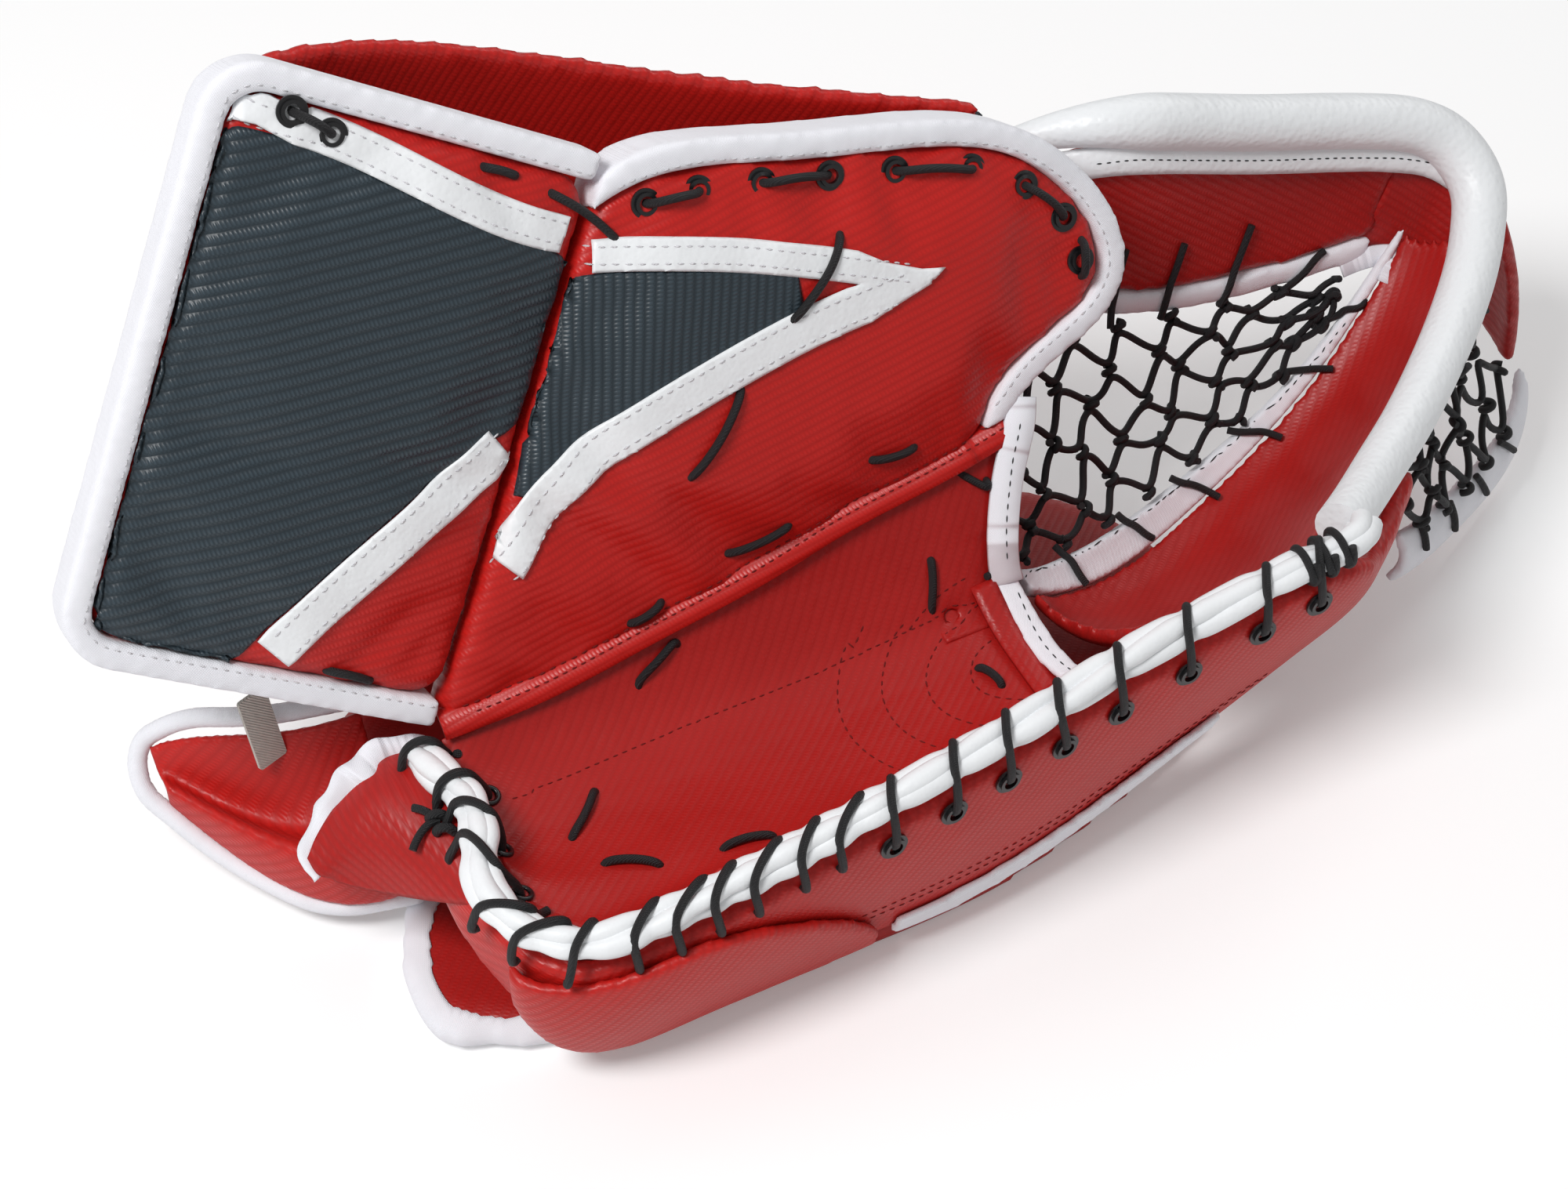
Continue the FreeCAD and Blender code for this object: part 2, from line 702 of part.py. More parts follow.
wall_holes = [5.47, 5.75, 6.02, 6.33, 6.66, 7.05, 7.45, 7.8]
rings = [eyelet(wall_point(place, 0.09, 0.7), rim_out(place)) for place in wall_holes]
add("perimeter_eyelets", Part.makeCompound(rings))

# ---------------------------------------------------------------- palm
lining = float(size.lining)
PALM = float(size.palm_reach)
edge_heights = [(-HEEL, BREAK - 2), (-90, BREAK - 3), (-42, BREAK + 5), (27, BREAK + 15),
                (PALM, BREAK + 21)]
stations = [(-HEEL + 10, 9, 55), (-HEEL + 20, 5, 70), (-74, 1.5, 74), (-28, 0, 76),
            (20, 0, 76), (PALM, 1, 74)]


def palm_profile(x, lift, reach):
    """Palm face across the glove, from the finger side to the foot of the break wall."""
    top = between(edge_heights, x) - rope - 4.5
    base = FLOOR + lift
    span = reach - 14
    shares = [0, 0.08, 0.28, 0.5, 0.77, 1]
    levels = [max(top, base + 2), base * 0.62 + top * 0.38, base + 1.5, base,
              base + 0.5, base + 3.5]
    return [Vector(x, -reach + span * share, z) for share, z in zip(shares, levels)]


sections = []
for x, lift, reach in stations:
    sections.append(leaf(palm_profile(x, lift, reach), X, -lining))
add("palm_lining", bent_sheet(sections))
short_ties = [
    ((-72, -26, 4.1), (-85, -38, 4.1)), ((-81, -50, 4.4), (-67, -58, 4.4)),
    ((-49, -60, 4.1), (-34, -62, 4.4)), ((50, -33, 2.4), (53, -42, 2.4)),
]
runs = []
for (x0, y0, z0), (x1, y1, z1) in short_ties:
    runs.append(stick(Vector(x0, y0, FLOOR + z0), Vector(x1, y1, FLOOR + z1), wire))
add("palm_ties", Part.makeCompound(runs))
foam = float(size.palm_padding)
sections = []
for x, lift, reach in stations[1:]:
    lowered = [p - Z * (lining + 1.5) for p in palm_profile(x, lift, reach)[2:]]
    lowered[0] = lowered[0] + Vector(0, 3, 0)
    lowered[-1] = lowered[-1] - Vector(0, 2, 0.4)
    sections.append(leaf(lowered, X, -foam))
add("palm_pad", bent_sheet(sections))

# break wall: the soft strip between the palm floor and the seam of the thumb board
foot_y = -13.4
break_rows = []
for x, lift, reach in stations:
    seam = between([(-109, 3), (-74, 4), (-40, 9), (-6, 14), (27, 21), (66, 28)], x)
    end = x if x < PALM else TIP - 50
    top = on_board(end, seam - 1.5 if x < PALM else TOP - 113.5, -1.5)
    base = Vector(x, foot_y, FLOOR + lift + 3.8)
    break_rows.append((base, (top + base) * 0.5 + Vector(0, 1.5, -1.5), top))
sections = []
for base, middle, top in break_rows:
    across = (middle - base).cross(top - middle).normalize()
    sections.append(leaf([base, middle, top], across if across.x > 0 else -across, -lining))
add("palm_break", bent_sheet(sections))

# ---------------------------------------------------------------- back of the hand
BACK = float(size.back_reach)
pad_front = [
    (-HEEL - 3, -61, 0), (-88, -FRONT + 14, 0), (-40, -FRONT + 10, 0), (10, -FRONT + 8, 0),
    (60, -FRONT + 15, 0), (103, -FRONT + 28, 0), (130, -46, 0), (147, -22, 0),
    (152, 10, 0), (140, 45, 0), (112, BACK - 14, 0), (60, BACK - 4, 0), (0, BACK, 0),
    (-60, BACK, 0), (-104, BACK - 3, 0), (-124, BACK - 22, 0), (-127, 40, 0),
    (-124, 8, 0), (-132, -14, 0), (-139, -36, 0), (-134, -55, 0), (-HEEL - 3, -61, 0),
]
back = float(size.back_thickness)
closed = Part.BSplineCurve()
closed.interpolate([Vector(*p) for p in pad_front[:-1]], PeriodicFlag=True)
pad_face = Part.Face(Part.Wire([closed.toShape()]))
pad = slab(pad_face, 0, back)
level_edges = [e for e in pad.Edges if e.BoundBox.ZLength < 0.01]
add("back_pad", pad.makeFillet(float(size.back_round), level_edges))

# finger stalls: leather walls between the fingers
walls = []
ceiling = FLOOR - lining - foam - 3.2
first = -6 - 2 * float(size.finger_pitch)
for k in range(3):
    y = first + k * float(size.finger_pitch)
    walls.append(Part.makeBox(float(size.divider_length), float(size.divider),
                              ceiling - back - SEAT, Vector(-12, y, back + SEAT / 2)))
add("finger_dividers", Part.makeCompound(walls))

# gusset behind the hand
sections = []
for x, y in ((-112, BACK - 8), (-50, BACK - 1), (10, BACK - 1), (90, BACK - 13)):
    low = Vector(x, y - 2, back + 1.5)
    mid = Vector(x, y + 7, back + 22)
    high_y = 96 - max(0.0, (x - 20) * 0.22)
    high = Vector(x, high_y, foot - SEAT * 2)
    sections.append(leaf([high, mid, low], X, lining))
add("back_gusset", bent_sheet(sections))

# white edge of the back pad that shows below the finger-side wall
sections = []
for place, low_cut in ((5.55, 0.02), (6.0, 0.03), (6.6, 0.06), (7.4, 0.12)):
    out = rim_out(place)
    sections.append(leaf(wall_row(place, 0.5, 0.86 - low_cut, low_cut, 3),
                         out.cross(Z), 2.2))
add("back_binding", bent_sheet(sections))


# ---------------------------------------------------------------- pocket
CORNER = float(size.pocket_reach)
roll = float(size.roll_radius)
roll_line = [(133.5, 70.6, 154), (153, 63, 154), (197, 60, 140), (232, 56, 131),
             (CORNER - 14, 51, 125), (CORNER - 3, 44, 118), (CORNER, 32, 109),
             (CORNER - 7, 20, 101), (CORNER - 19, 7, 95), (CORNER - 40, -11, 91),
             (CORNER - 66, -31, 90), (CORNER - 89, -47, 92), (CORNER - 107, -60, 96),
             (CORNER - 121, -70, 101)]
roll_points = along(roll_line, 20)
bar_end = min(range(20), key=lambda k: abs(roll_points[k].x - (CORNER - 18)) + roll_points[k].y * -0.1)
turn_end = bar_end + 4


def roll_cut(k):
    """The two faces of a cut across the roll, halfway between two of its points."""
    run = (roll_points[k + 1] - roll_points[k]).normalize()
    middle = (roll_points[k + 1] + roll_points[k]) * 0.5
    return middle - run * (SEAT / 2), middle + run * (SEAT / 2)


bar_stop, turn_start = roll_cut(bar_end)
turn_stop, stem_start = roll_cut(turn_end)
add("bar_roll", tube(roll_points[:bar_end + 1] + [bar_stop], roll))
add("corner_roll", tube([turn_start] + roll_points[bar_end + 1:turn_end + 1] + [turn_stop], roll))
add("stem_roll", tube([stem_start] + roll_points[turn_end + 1:], roll))

# T bar: the panel that hangs under the roll
panel = float(size.bar_thickness)
bar_foot = [(133, 54, 92), (160, 50, 84), (197, 49, 78), (226, 47.5, 77.5),
            (CORNER - 29, 46, 79)]
bar_head = [(x, y - panel / 2, z - roll - 3 * SEAT) for x, y, z in roll_line[:4]]
bar_head = bar_head + [(CORNER - 17, 51.5 - panel / 2, 125 - roll - 3 * SEAT)]
inset_bar = float(size.binding_width) + SEAT


def hanging(heads, feet_run, cut, thickness, push):
    """A sheet hung between two runs, its lower cut kept free for a binding."""
    rows = []
    for (x0, y0, z0), (x1, y1, z1) in zip(heads, feet_run):
        a = Vector(x0, y0, z0)
        b = Vector(x1, y1, z1)
        b = b + (a - b).normalize() * cut
        sag = Vector(0, push, 0)
        rows.append((a, (a + b) * 0.5 + sag, b))
    built = []
    for a, middle, b in rows:
        flat = (b - a).cross(middle - a)
        across = flat.normalize() if flat.Length > 0.5 else X
        if across.x < 0:
            across = -across
        built.append(leaf([a, middle, b], across, thickness))
    return bent_sheet(built)


add("pocket_bar", hanging(bar_head, bar_foot, inset_bar + SEAT, panel, 1.5))
rim_strip = []
for (x0, y0, z0), (x1, y1, z1) in zip(bar_head, bar_foot):
    a = Vector(x0, y0, z0)
    b = Vector(x1, y1, z1)
    up = (a - b).normalize()
    front = Vector(0, -1.2, 0)
    rim_strip.append(leaf([b + up * (inset_bar - SEAT) + front, b + front],
                          Vector(1, 0, 0), panel + 2.4))
add("bar_binding", bent_sheet(rim_strip))
flange = []
for (x0, y0, z0), (x1, y1, z1) in zip(bar_head, bar_foot):
    a = Vector(x0, y0, z0)
    b = Vector(x1, y1, z1)
    down = (b - a).normalize()
    front = Vector(0, -0.4, 0)
    flange.append(leaf([a + down + front, a + down * 11 + front], X, -1.4))
add("roll_flange", bent_sheet(flange))

# stem band: the wide floor of the pocket, from the palm up to the corner of the T
stem_net = [(PALM + 12, -7, 57), (94, -4, 49), (120, 5, 41), (150, 16, 37), (180, 24, 42),
            (208, 30, 56), (232, 37, 74), (248, 42, 91)]
stem_rope = [(PALM + 26, -70, 89), (112, -70, 92), (139, -68, 95), (168, -45, 84), (199, -22, 79),
             (228, -2, 81), (247, 14, 87), (256, 27, 96)]
sags = [14, 24, 27, 24, 18, 11, 6, 2]
stem = float(size.stem_thickness)


def band_row(i, start, end, lift=0.0):
    """Points across the stem band from the net (0) to the rope (1)."""
    a = Vector(*stem_net[i])
    b = Vector(*stem_rope[i])
    row = []
    for k in range(5):
        share = start + (end - start) * k / 4
        spot = a + (b - a) * share
        spot.z -= sags[i] * 4 * share * (1 - share) * (1 - 0.35 * (share - 0.5))
        spot.z += lift
        row.append(spot)
    return row


def band_sheet(start, end, thickness, lift=0.0):
    rows = []
    for i in range(len(stem_net)):
        row = band_row(i, start, end, lift)
        across = (row[-1] - row[0]).cross(Z).normalize()
        rows.append(leaf(row, across, -thickness))
    return bent_sheet(rows)


net_trim = 0.11
add("stem_band", band_sheet(net_trim + 0.006, 0.97, stem))
add("stem_binding", band_sheet(0.0, net_trim, stem + 1.6, 0.8))

# white edge where the palm ends and the pocket begins
def edge_binding(spots, width):
    """A folded binding along a run of (x, y, z) spots, lying over the edge it trims."""
    rows = []
    for i, (x, y, z) in enumerate(spots):
        a = Vector(*spots[max(i - 1, 0)])
        b = Vector(*spots[min(i + 1, len(spots) - 1)])
        along_edge = (b - a).normalize()
        side = X - along_edge * along_edge.x
        side.normalize()
        spot = Vector(x, y, z)
        rows.append(leaf([spot, spot + side * width], along_edge, lining))
    return bent_sheet(rows)


end_x = PALM + 1.2
add("break_binding", edge_binding(
    [(end_x + 18.4, 14.4, 100), (end_x + 9, 6.5, 86), (end_x + 2.5, -1.5, 72),
     (end_x, -8.5, 61.5)], inset))
add("palm_end_binding", edge_binding(
    [(end_x, -10, 58.5), (end_x, -26, 53.6), (end_x, -44, 53.0), (end_x + 1.5, -59, 59),
     (end_x + 4, -68, 73)], inset))

# T corner pad: the red back of the pocket behind the corner of the roll
rows = []
for head_point, foot_point in (((CORNER - 7, 62, 121), (CORNER + 4, 64, 62)),
                               ((CORNER + 6, 51, 116), (CORNER + 15, 48, 50)),
                               ((CORNER + 10, 36, 104), (CORNER + 19, 30, 42)),
                               ((CORNER + 8, 20, 92), (CORNER + 17, 15, 40))):
    a = Vector(*head_point)
    b = Vector(*foot_point)
    middle = (a + b) * 0.5 + Vector(3, 0, 0)
    across = (b - a).cross(middle - a).normalize()
    if across.y < 0:
        across = -across
    rows.append(leaf([a, middle, b], across, 4.5))
add("corner_pad", bent_sheet(rows))

# outer band of the pocket, bound in white, and the nets
band = float(size.band_width)
band_run = [(200, -39, 34), (224, -29, 27), (250, -16, 22), (272, -3, 22), (284, 10, 30)]
rows = []
for i, point in enumerate(band_run):
    out = outward(band_run, i)
    spot = Vector(*point)
    rows.append(leaf([spot + Vector(0, 0, band * 0.5) - out * 3, spot + out * 0.6,
                      spot - Vector(0, 0, band * 0.5) - out * 3],
                     Z.cross(out) * -1, 3.2))
add("outer_band", bent_sheet(rows))

strand = float(size.net_lace)
net_head = along([(74, 14, 78), (90, 26, 92), (112, 38, 96), (140, 46, 88), (170, 47.5, 81),
                  (200, 47.5, 77), (228, 45, 75)], 9)
net_foot = along([(74, -5, 60), (96, 2, 50), (120, 9, 44), (150, 19, 40), (180, 27, 45),
                  (206, 33, 58), (226, 39, 72)], 9)
strands = []
for k in range(8):
    lift = Vector(0, -0.55 * strand, 0.2 * strand)
    strands.append(bar_of(net_head[k], net_foot[k + 1], strand, lift))
for k in range(8):
    lift = Vector(0, 0.55 * strand, -0.2 * strand)
    strands.append(bar_of(net_head[k + 1], net_foot[k], strand, lift))
add("inner_net", Part.makeCompound(strands))
outer_head = along([(CORNER - 72, -38, 80), (CORNER - 44, -16, 80), (CORNER - 14, 12, 84)], 7)
outer_foot = along([(203, -40, 45), (240, -23, 35), (272, -4, 33)], 7)
strands = []
for k in range(6):
    strands.append(bar_of(outer_head[k], outer_foot[k + 1], strand, Vector(0.6, -0.6, 0) * strand))
    strands.append(bar_of(outer_head[k + 1], outer_foot[k], strand, Vector(-0.6, 0.6, 0) * strand))
add("outer_net", Part.makeCompound(strands))

# ---------------------------------------------------------------- wrist
flap = float(size.flap_thickness)
flap_rows = [
    (-122, [(-6, 18.5), (1, 34), (12, 29), (26, 36), (36, 51)]),
    (-148, [(5, 12), (12, 29), (22, 23), (34, 31), (44, 47)]),
    (-168, [(34, 14), (39, 26), (46, 22), (53, 28), (59, 40)]),
    (-179, [(54, 21), (57, 28), (60, 27), (63, 29), (66, 34)]),
]
rows = []
for x, shape_points in flap_rows:
    rows.append(leaf([Vector(x, y, z) for y, z in shape_points], X, flap))
add("wrist_flap", bent_sheet(rows))
edge_out = [Vector(x - 1, row[0][0] - 1.8, row[0][1] - 3.9) for x, row in flap_rows[:3]]
edge_tip = [Vector(-186, 60, 24), Vector(-182, 70, 34)]
edge_back = [Vector(-168, 63, 45), Vector(-148, 47, 51), Vector(-123, 39, 54)]
add("flap_binding", tube(edge_out + edge_tip + edge_back, 2.2))
plate("elastic_tab", -5, 0, 10, 26, 1, 1.2,
      Placement(Vector(-150, 36, 44), Rotation(Vector(0.94, 0.34, 0), Vector(0.1, 0.25, 0.96),
                                               Vector(), "XYZ")))

# heel panel: the leather tongue under the heel of the rim
rows = []
for y, z, reach, drop in ((-4, 60, 30, 12), (-20, 59, 22, 26), (-38, 57, 12, 36)):
    a = Vector(-HEEL - rope * 0.5 - 1.9, y, z)
    b = a + Vector(-reach, 0, -drop)
    rows.append(leaf([a, (a + b) * 0.5 + Vector(-2, 0, 2), b], Y, 2.2))
add("heel_tongue", bent_sheet(rows))

# hand strap at the heel, held by a hook patch
strap = float(size.strap_thickness)
tall = float(size.strap_height)
strap_rows = [(2.75, 0.1, 0.42), (3.3, 0.08, 0.1), (4.0, 0.04, 0.02), (4.5, 0.05, 0.0),
              (5.0, 0.28, 0.0), (5.28, 0.55, 0.03), (5.45, 0.82, 0.05)]
rows = []
for place, top_cut, low_cut in strap_rows:
    out = rim_out(place)
    cut = max(0.0, top_cut + (50 - tall) / 60)
    rows.append(leaf(wall_row(place, 1.0, cut, low_cut, 3), out.cross(Z), strap))
add("hand_strap", bent_sheet(rows))


# ---------------------------------------------------------------- export
NODES = [
    "thumb_board", "thumb_binding", "thumb_stripes", "thumb_dark_panel", "thumb_eyelets",
    "thumb_edge_laces", "thumb_ties", "thumb_stall", "back_shell",
    "cuff_board", "cuff_binding", "cuff_stripes", "cuff_dark_panel", "cuff_liner",
    "cuff_eyelets", "cuff_laces", "crease_lace",
    "finger_wall", "rope_edge", "perimeter_lace", "perimeter_eyelets",
    "palm_lining", "palm_ties", "palm_pad", "palm_break", "back_pad", "finger_dividers",
    "back_gusset", "back_binding", "break_binding",
    "bar_roll", "corner_roll", "stem_roll", "pocket_bar", "bar_binding", "roll_flange",
    "stem_band", "stem_binding", "palm_end_binding", "corner_pad", "outer_band",
    "inner_net", "outer_net", "wrist_flap", "flap_binding", "elastic_tab",
    "heel_tongue", "hand_strap",
]
doc.recompute()
for item in doc.Objects:
    if "Invalid" in item.State or "Error" in item.State:
        raise RuntimeError(f"{item.Label} did not recompute")
by_label = {item.Label: item for item in doc.Objects}
for node in NODES:
    shape = by_label[node].Shape
    if shape.isNull() or not shape.isValid() or shape.Volume <= 0:
        raise RuntimeError(f"{node} has no sound shape")
for node in NODES:
    by_label[node].Shape.exportStep(f"parts/{node}.step")
print(len(NODES), "sub-parts written")
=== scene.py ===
# %% [markdown]
# # A goalie catch glove
# A catch glove is a padded thumb board and a cuff board on one side, a wall with a laced rolled
# edge on the other, and a laced pocket between them. The solids come from the CAD frame. Here each
# one gets its real skin: twill vinyl, cloth binding, stitches, laces, a rolled T and a knotted net.

# %% The frame
import json
import math
from contextlib import contextmanager
import bmesh
import bpy
from mathutils import Matrix, Vector, noise
from mathutils.bvhtree import BVHTree


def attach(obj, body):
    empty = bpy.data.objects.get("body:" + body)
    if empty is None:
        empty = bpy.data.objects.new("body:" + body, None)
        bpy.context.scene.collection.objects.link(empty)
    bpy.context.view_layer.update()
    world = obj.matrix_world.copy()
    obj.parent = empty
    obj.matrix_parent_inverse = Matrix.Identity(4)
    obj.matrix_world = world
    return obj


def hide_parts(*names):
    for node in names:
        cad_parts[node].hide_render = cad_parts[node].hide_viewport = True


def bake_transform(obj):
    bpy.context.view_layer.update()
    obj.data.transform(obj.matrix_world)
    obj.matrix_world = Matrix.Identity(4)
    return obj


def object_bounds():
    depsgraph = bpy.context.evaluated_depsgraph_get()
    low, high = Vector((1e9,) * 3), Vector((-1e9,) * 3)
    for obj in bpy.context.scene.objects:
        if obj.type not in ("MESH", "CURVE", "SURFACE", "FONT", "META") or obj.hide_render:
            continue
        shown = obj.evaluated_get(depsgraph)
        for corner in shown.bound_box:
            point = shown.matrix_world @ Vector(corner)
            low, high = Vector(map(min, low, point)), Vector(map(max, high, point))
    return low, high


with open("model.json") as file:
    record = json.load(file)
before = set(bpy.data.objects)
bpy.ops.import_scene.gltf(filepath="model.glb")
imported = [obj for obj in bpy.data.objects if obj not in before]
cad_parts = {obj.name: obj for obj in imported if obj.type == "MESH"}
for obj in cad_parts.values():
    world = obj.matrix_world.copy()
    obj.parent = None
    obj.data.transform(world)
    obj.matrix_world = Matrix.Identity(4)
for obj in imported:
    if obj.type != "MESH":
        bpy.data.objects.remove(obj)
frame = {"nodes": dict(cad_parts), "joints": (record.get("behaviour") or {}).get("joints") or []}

cad_low, cad_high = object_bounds()
MM = 0.001
print("CAD box", [round(v, 3) for v in cad_high - cad_low])

# %% [markdown]
# ## Camera, floor and light
# The glove is seen from above and a little from the wrist, with a long lens. The room is a plain
# pale floor, an even sky and two large soft lamps, so that the vinyl keeps a broad quiet shine.

# %% Camera
def placed(name, data):
    """A new object in the scene."""
    made = bpy.data.objects.new(name, data)
    bpy.context.scene.collection.objects.link(made)
    return made


def look(azimuth, elevation, target, distance, lens):
    """A camera that looks at the target from an azimuth and an elevation."""
    a = math.radians(azimuth)
    e = math.radians(elevation)
    back = Vector((math.sin(a) * math.cos(e), -math.cos(a) * math.cos(e), math.sin(e)))
    camera = placed("camera", bpy.data.cameras.new("camera"))
    camera.location = target + back * distance
    camera.rotation_euler = (-back).to_track_quat("-Z", "Y").to_euler()
    camera.data.sensor_width = 36
    camera.data.lens = lens
    camera.data.clip_start = 0.05
    camera.data.clip_end = 20
    bpy.context.scene.camera = camera
    return camera


camera = look(azimuth=-27, elevation=47, target=Vector((0, -0.003, 0.080)), distance=0.900,
              lens=70.2)
print("camera at", [round(v, 3) for v in camera.location])

# %% [markdown]
# ## Writing shaders
# A pattern is a sum of simple fields: a coordinate, a wave, a noise. Python's own signs are given
# to a small class, so that a line such as rib * 0.5 + wear writes its Math nodes by itself.

# %% A field
class Field:
    """A number that changes over a surface. Sums and products of fields add their own nodes."""

    def __init__(self, finish, socket):
        self.finish = finish
        self.socket = socket

    def math(self, operation, *others):
        values = [getattr(o, "socket", o) for o in (self, *others)]
        node = self.finish.node("Math", {"operation": operation}, dict(enumerate(values)))
        return Field(self.finish, node.outputs[0])

    def __add__(self, other):
        return self.math("ADD", other)

    def __sub__(self, other):
        return self.math("SUBTRACT", other)

    def __mul__(self, other):
        return self.math("MULTIPLY", other)

    def __truediv__(self, other):
        return self.math("DIVIDE", other)

    def __pow__(self, other):
        return self.math("POWER", other)

    __radd__ = __add__
    __rmul__ = __mul__

    def __rsub__(self, other):
        return self.math("MULTIPLY_ADD", -1.0, other)

    def clamp(self):
        return self.math("MAXIMUM", 0.0).math("MINIMUM", 1.0)

    def wave(self):
        """A sine that repeats whenever this grows by one."""
        return (self * (2 * math.pi)).math("SINE")

    def per(self, millimetre_count):
        """This length counted in steps of so many millimetres."""
        return self * (1 / (millimetre_count * MM))


# %% A finish
class Finish:
    """A material and the one method that adds nodes to it."""

    def __init__(self, name):
        self.material = bpy.data.materials.new(name)
        self.material.use_nodes = True
        self.tree = self.material.node_tree
        self.shader = self.tree.nodes["Principled BSDF"]

    def node(self, kind, settings=None, inputs=None):
        made = self.tree.nodes.new("ShaderNode" + kind)
        for key, value in (settings or {}).items():
            if key == "stops":
                stops = made.color_ramp.elements
                while len(stops) < len(value):
                    stops.new(1.0)
                for stop, (place, colour) in zip(stops, value):
                    stop.position = place
                    stop.color = colour
            else:
                setattr(made, key, value)
        for key, value in (inputs or {}).items():
            value = getattr(value, "socket", value)
            if isinstance(value, bpy.types.NodeSocket):
                self.tree.links.new(value, made.inputs[key])
            else:
                made.inputs[key].default_value = value
        return made

    def field(self, made, output=0):
        return Field(self, made.outputs[output])

    def place(self, frame_matrix=None):
        """The surface point in a piece's own frame, as a vector socket."""
        point = self.node("TexCoord").outputs["Object"]
        if frame_matrix is None:
            return point
        turn = frame_matrix.to_euler()
        shift = frame_matrix.to_translation()
        return self.node("Mapping", {"vector_type": "TEXTURE"},
                         {"Vector": point, "Location": shift, "Rotation": turn}).outputs[0]

    def axes(self, point):
        """The three coordinates of a point, as fields."""
        parts = self.node("SeparateXYZ", None, {0: point})
        return [self.field(parts, k) for k in range(3)]

    def noise(self, point, scale, detail=3.0, rough=0.5):
        made = self.node("TexNoise", None, {"Vector": point, "Scale": scale,
                                            "Detail": detail, "Roughness": rough})
        return self.field(made)

    def mix(self, factor, one, two):
        made = self.node("Mix", {"data_type": "RGBA"}, {0: factor, 6: one, 7: two})
        return made.outputs[2]

    def set(self, **values):
        for key, value in values.items():
            self.shader.inputs[key.replace("_", " ")].default_value = value

    def wire(self, name, value):
        self.tree.links.new(getattr(value, "socket", value), self.shader.inputs[name])

    def bump(self, height):
        """Relief from a height in millimetres."""
        made = self.node("Bump", None, {"Height": height, "Distance": MM, "Strength": 1.0})
        self.wire("Normal", made.outputs[0])


# %% Colours
def rgb(red, green, blue):
    """A colour from display values between 0 and 255."""
    def linear(v):
        v = v / 255
        return v / 12.92 if v <= 0.04045 else ((v + 0.055) / 1.055) ** 2.4
    return (linear(red), linear(green), linear(blue), 1.0)


def toned(colour, times, plus=0.0):
    """A darker or a lighter version of a colour."""
    return tuple(c * times + plus for c in colour[:3]) + (1,)


print("mid grey is", round(rgb(128, 128, 128)[0], 3))

# %% Floor, sky and lamps
def room():
    floor = Finish("pale floor")
    floor.set(Base_Color=(0.92, 0.92, 0.92, 1), Roughness=0.9)
    bm = bmesh.new()
    bmesh.ops.create_grid(bm, x_segments=1, y_segments=1, size=6.0)
    mesh = bpy.data.meshes.new("floor")
    bm.to_mesh(mesh)
    bm.free()
    plane = placed("floor", mesh)
    plane.location.z = min(0.0, cad_low.z) - 0.0003
    mesh.materials.append(floor.material)
    path = floor.node("LightPath")
    seen = floor.field(path, "Is Camera Ray")
    glow = floor.node("Emission", None, {"Color": (1, 1, 1, 1), "Strength": 0.17})
    add = floor.node("AddShader", None, {0: floor.shader.outputs[0], 1: glow.outputs[0]})
    pick = floor.node("MixShader", None, {0: seen, 1: floor.shader.outputs[0],
                                          2: add.outputs[0]})
    floor.tree.links.new(pick.outputs[0], floor.tree.nodes["Material Output"].inputs[0])

    world = bpy.data.worlds.new("even sky")
    bpy.context.scene.world = world
    world.use_nodes = True
    world.node_tree.nodes["Background"].inputs[0].default_value = (1.0, 1.0, 1.0, 1)
    world.node_tree.nodes["Background"].inputs[1].default_value = 0.36
    for name, spot, size, power in (("key", (-0.85, -0.25, 1.45), 0.55, 18.0),
                                    ("fill", (1.2, 0.6, 1.3), 1.0, 5.0)):
        lamp = placed(name, bpy.data.lights.new(name, "AREA"))
        lamp.data.shape = "DISK"
        lamp.data.size = size
        lamp.data.energy = power
        lamp.location = spot
        lamp.rotation_euler = (-Vector(spot)).to_track_quat("-Z", "Y").to_euler()


room()
bpy.context.scene.view_settings.view_transform = "Standard"
print("floor, sky and two lamps")

# %% [markdown]
# ## Frames of the boards
# The thumb turns about the break, and the cuff turns about the crease. Both axes lie in the face
# of the boards, so the two joints of the frame give the plane that panels and stitches lie in.

# %% Board frames
joints = {joint["name"]: joint for joint in frame["joints"]}


def axes(origin, along, out):
    """A frame from its origin, the direction along it and the direction out of its face."""
    u = Vector(along).normalized()
    n = Vector(out).normalized()
    v = n.cross(u).normalized()
    n = u.cross(v)
    made = Matrix((u, v, n)).transposed().to_4x4()
    made.translation = Vector(origin)
    return made


crease_line = Vector(joints["cuff_flex"]["axis"])
face_out = Vector((1, 0, 0)).cross(crease_line).normalized()
BOARD = axes(joints["thumb_close"]["pos_m"], (1, 0, 0), face_out)
CUFF = axes(joints["cuff_flex"]["pos_m"], crease_line, face_out)
PALM = axes((0, 0, 0), (1, 0, 0), (0, 0, 1))
WALL = axes((0, 0, 0), (1, 0, 0), (0, -1, 0))
SHELL = axes((0, 0, 0), (-1, 0, 0), (0, 1, 0))


def on(board, u, v, lift=0.0):
    """A point of a board from millimetres along it, up it and out of its face."""
    return board @ Vector((u * MM, v * MM, lift * MM))


def all_on(board, spots, lift=0.0):
    return [on(board, u, v, lift) for u, v in spots]


def unit(x, y, z):
    return Vector((x, y, z)).normalized()


print("board face looks", [round(v, 2) for v in face_out])

# %% [markdown]
# ## Twill vinyl
# The red and charcoal skins are synthetic leather pressed with a twill weave: fine ribs, each cut
# into short slanted steps. A sine across the ribs gives the groove and a second one along them,
# shifted a little from rib to rib, gives the steps. The pattern lies in the frame of each piece.

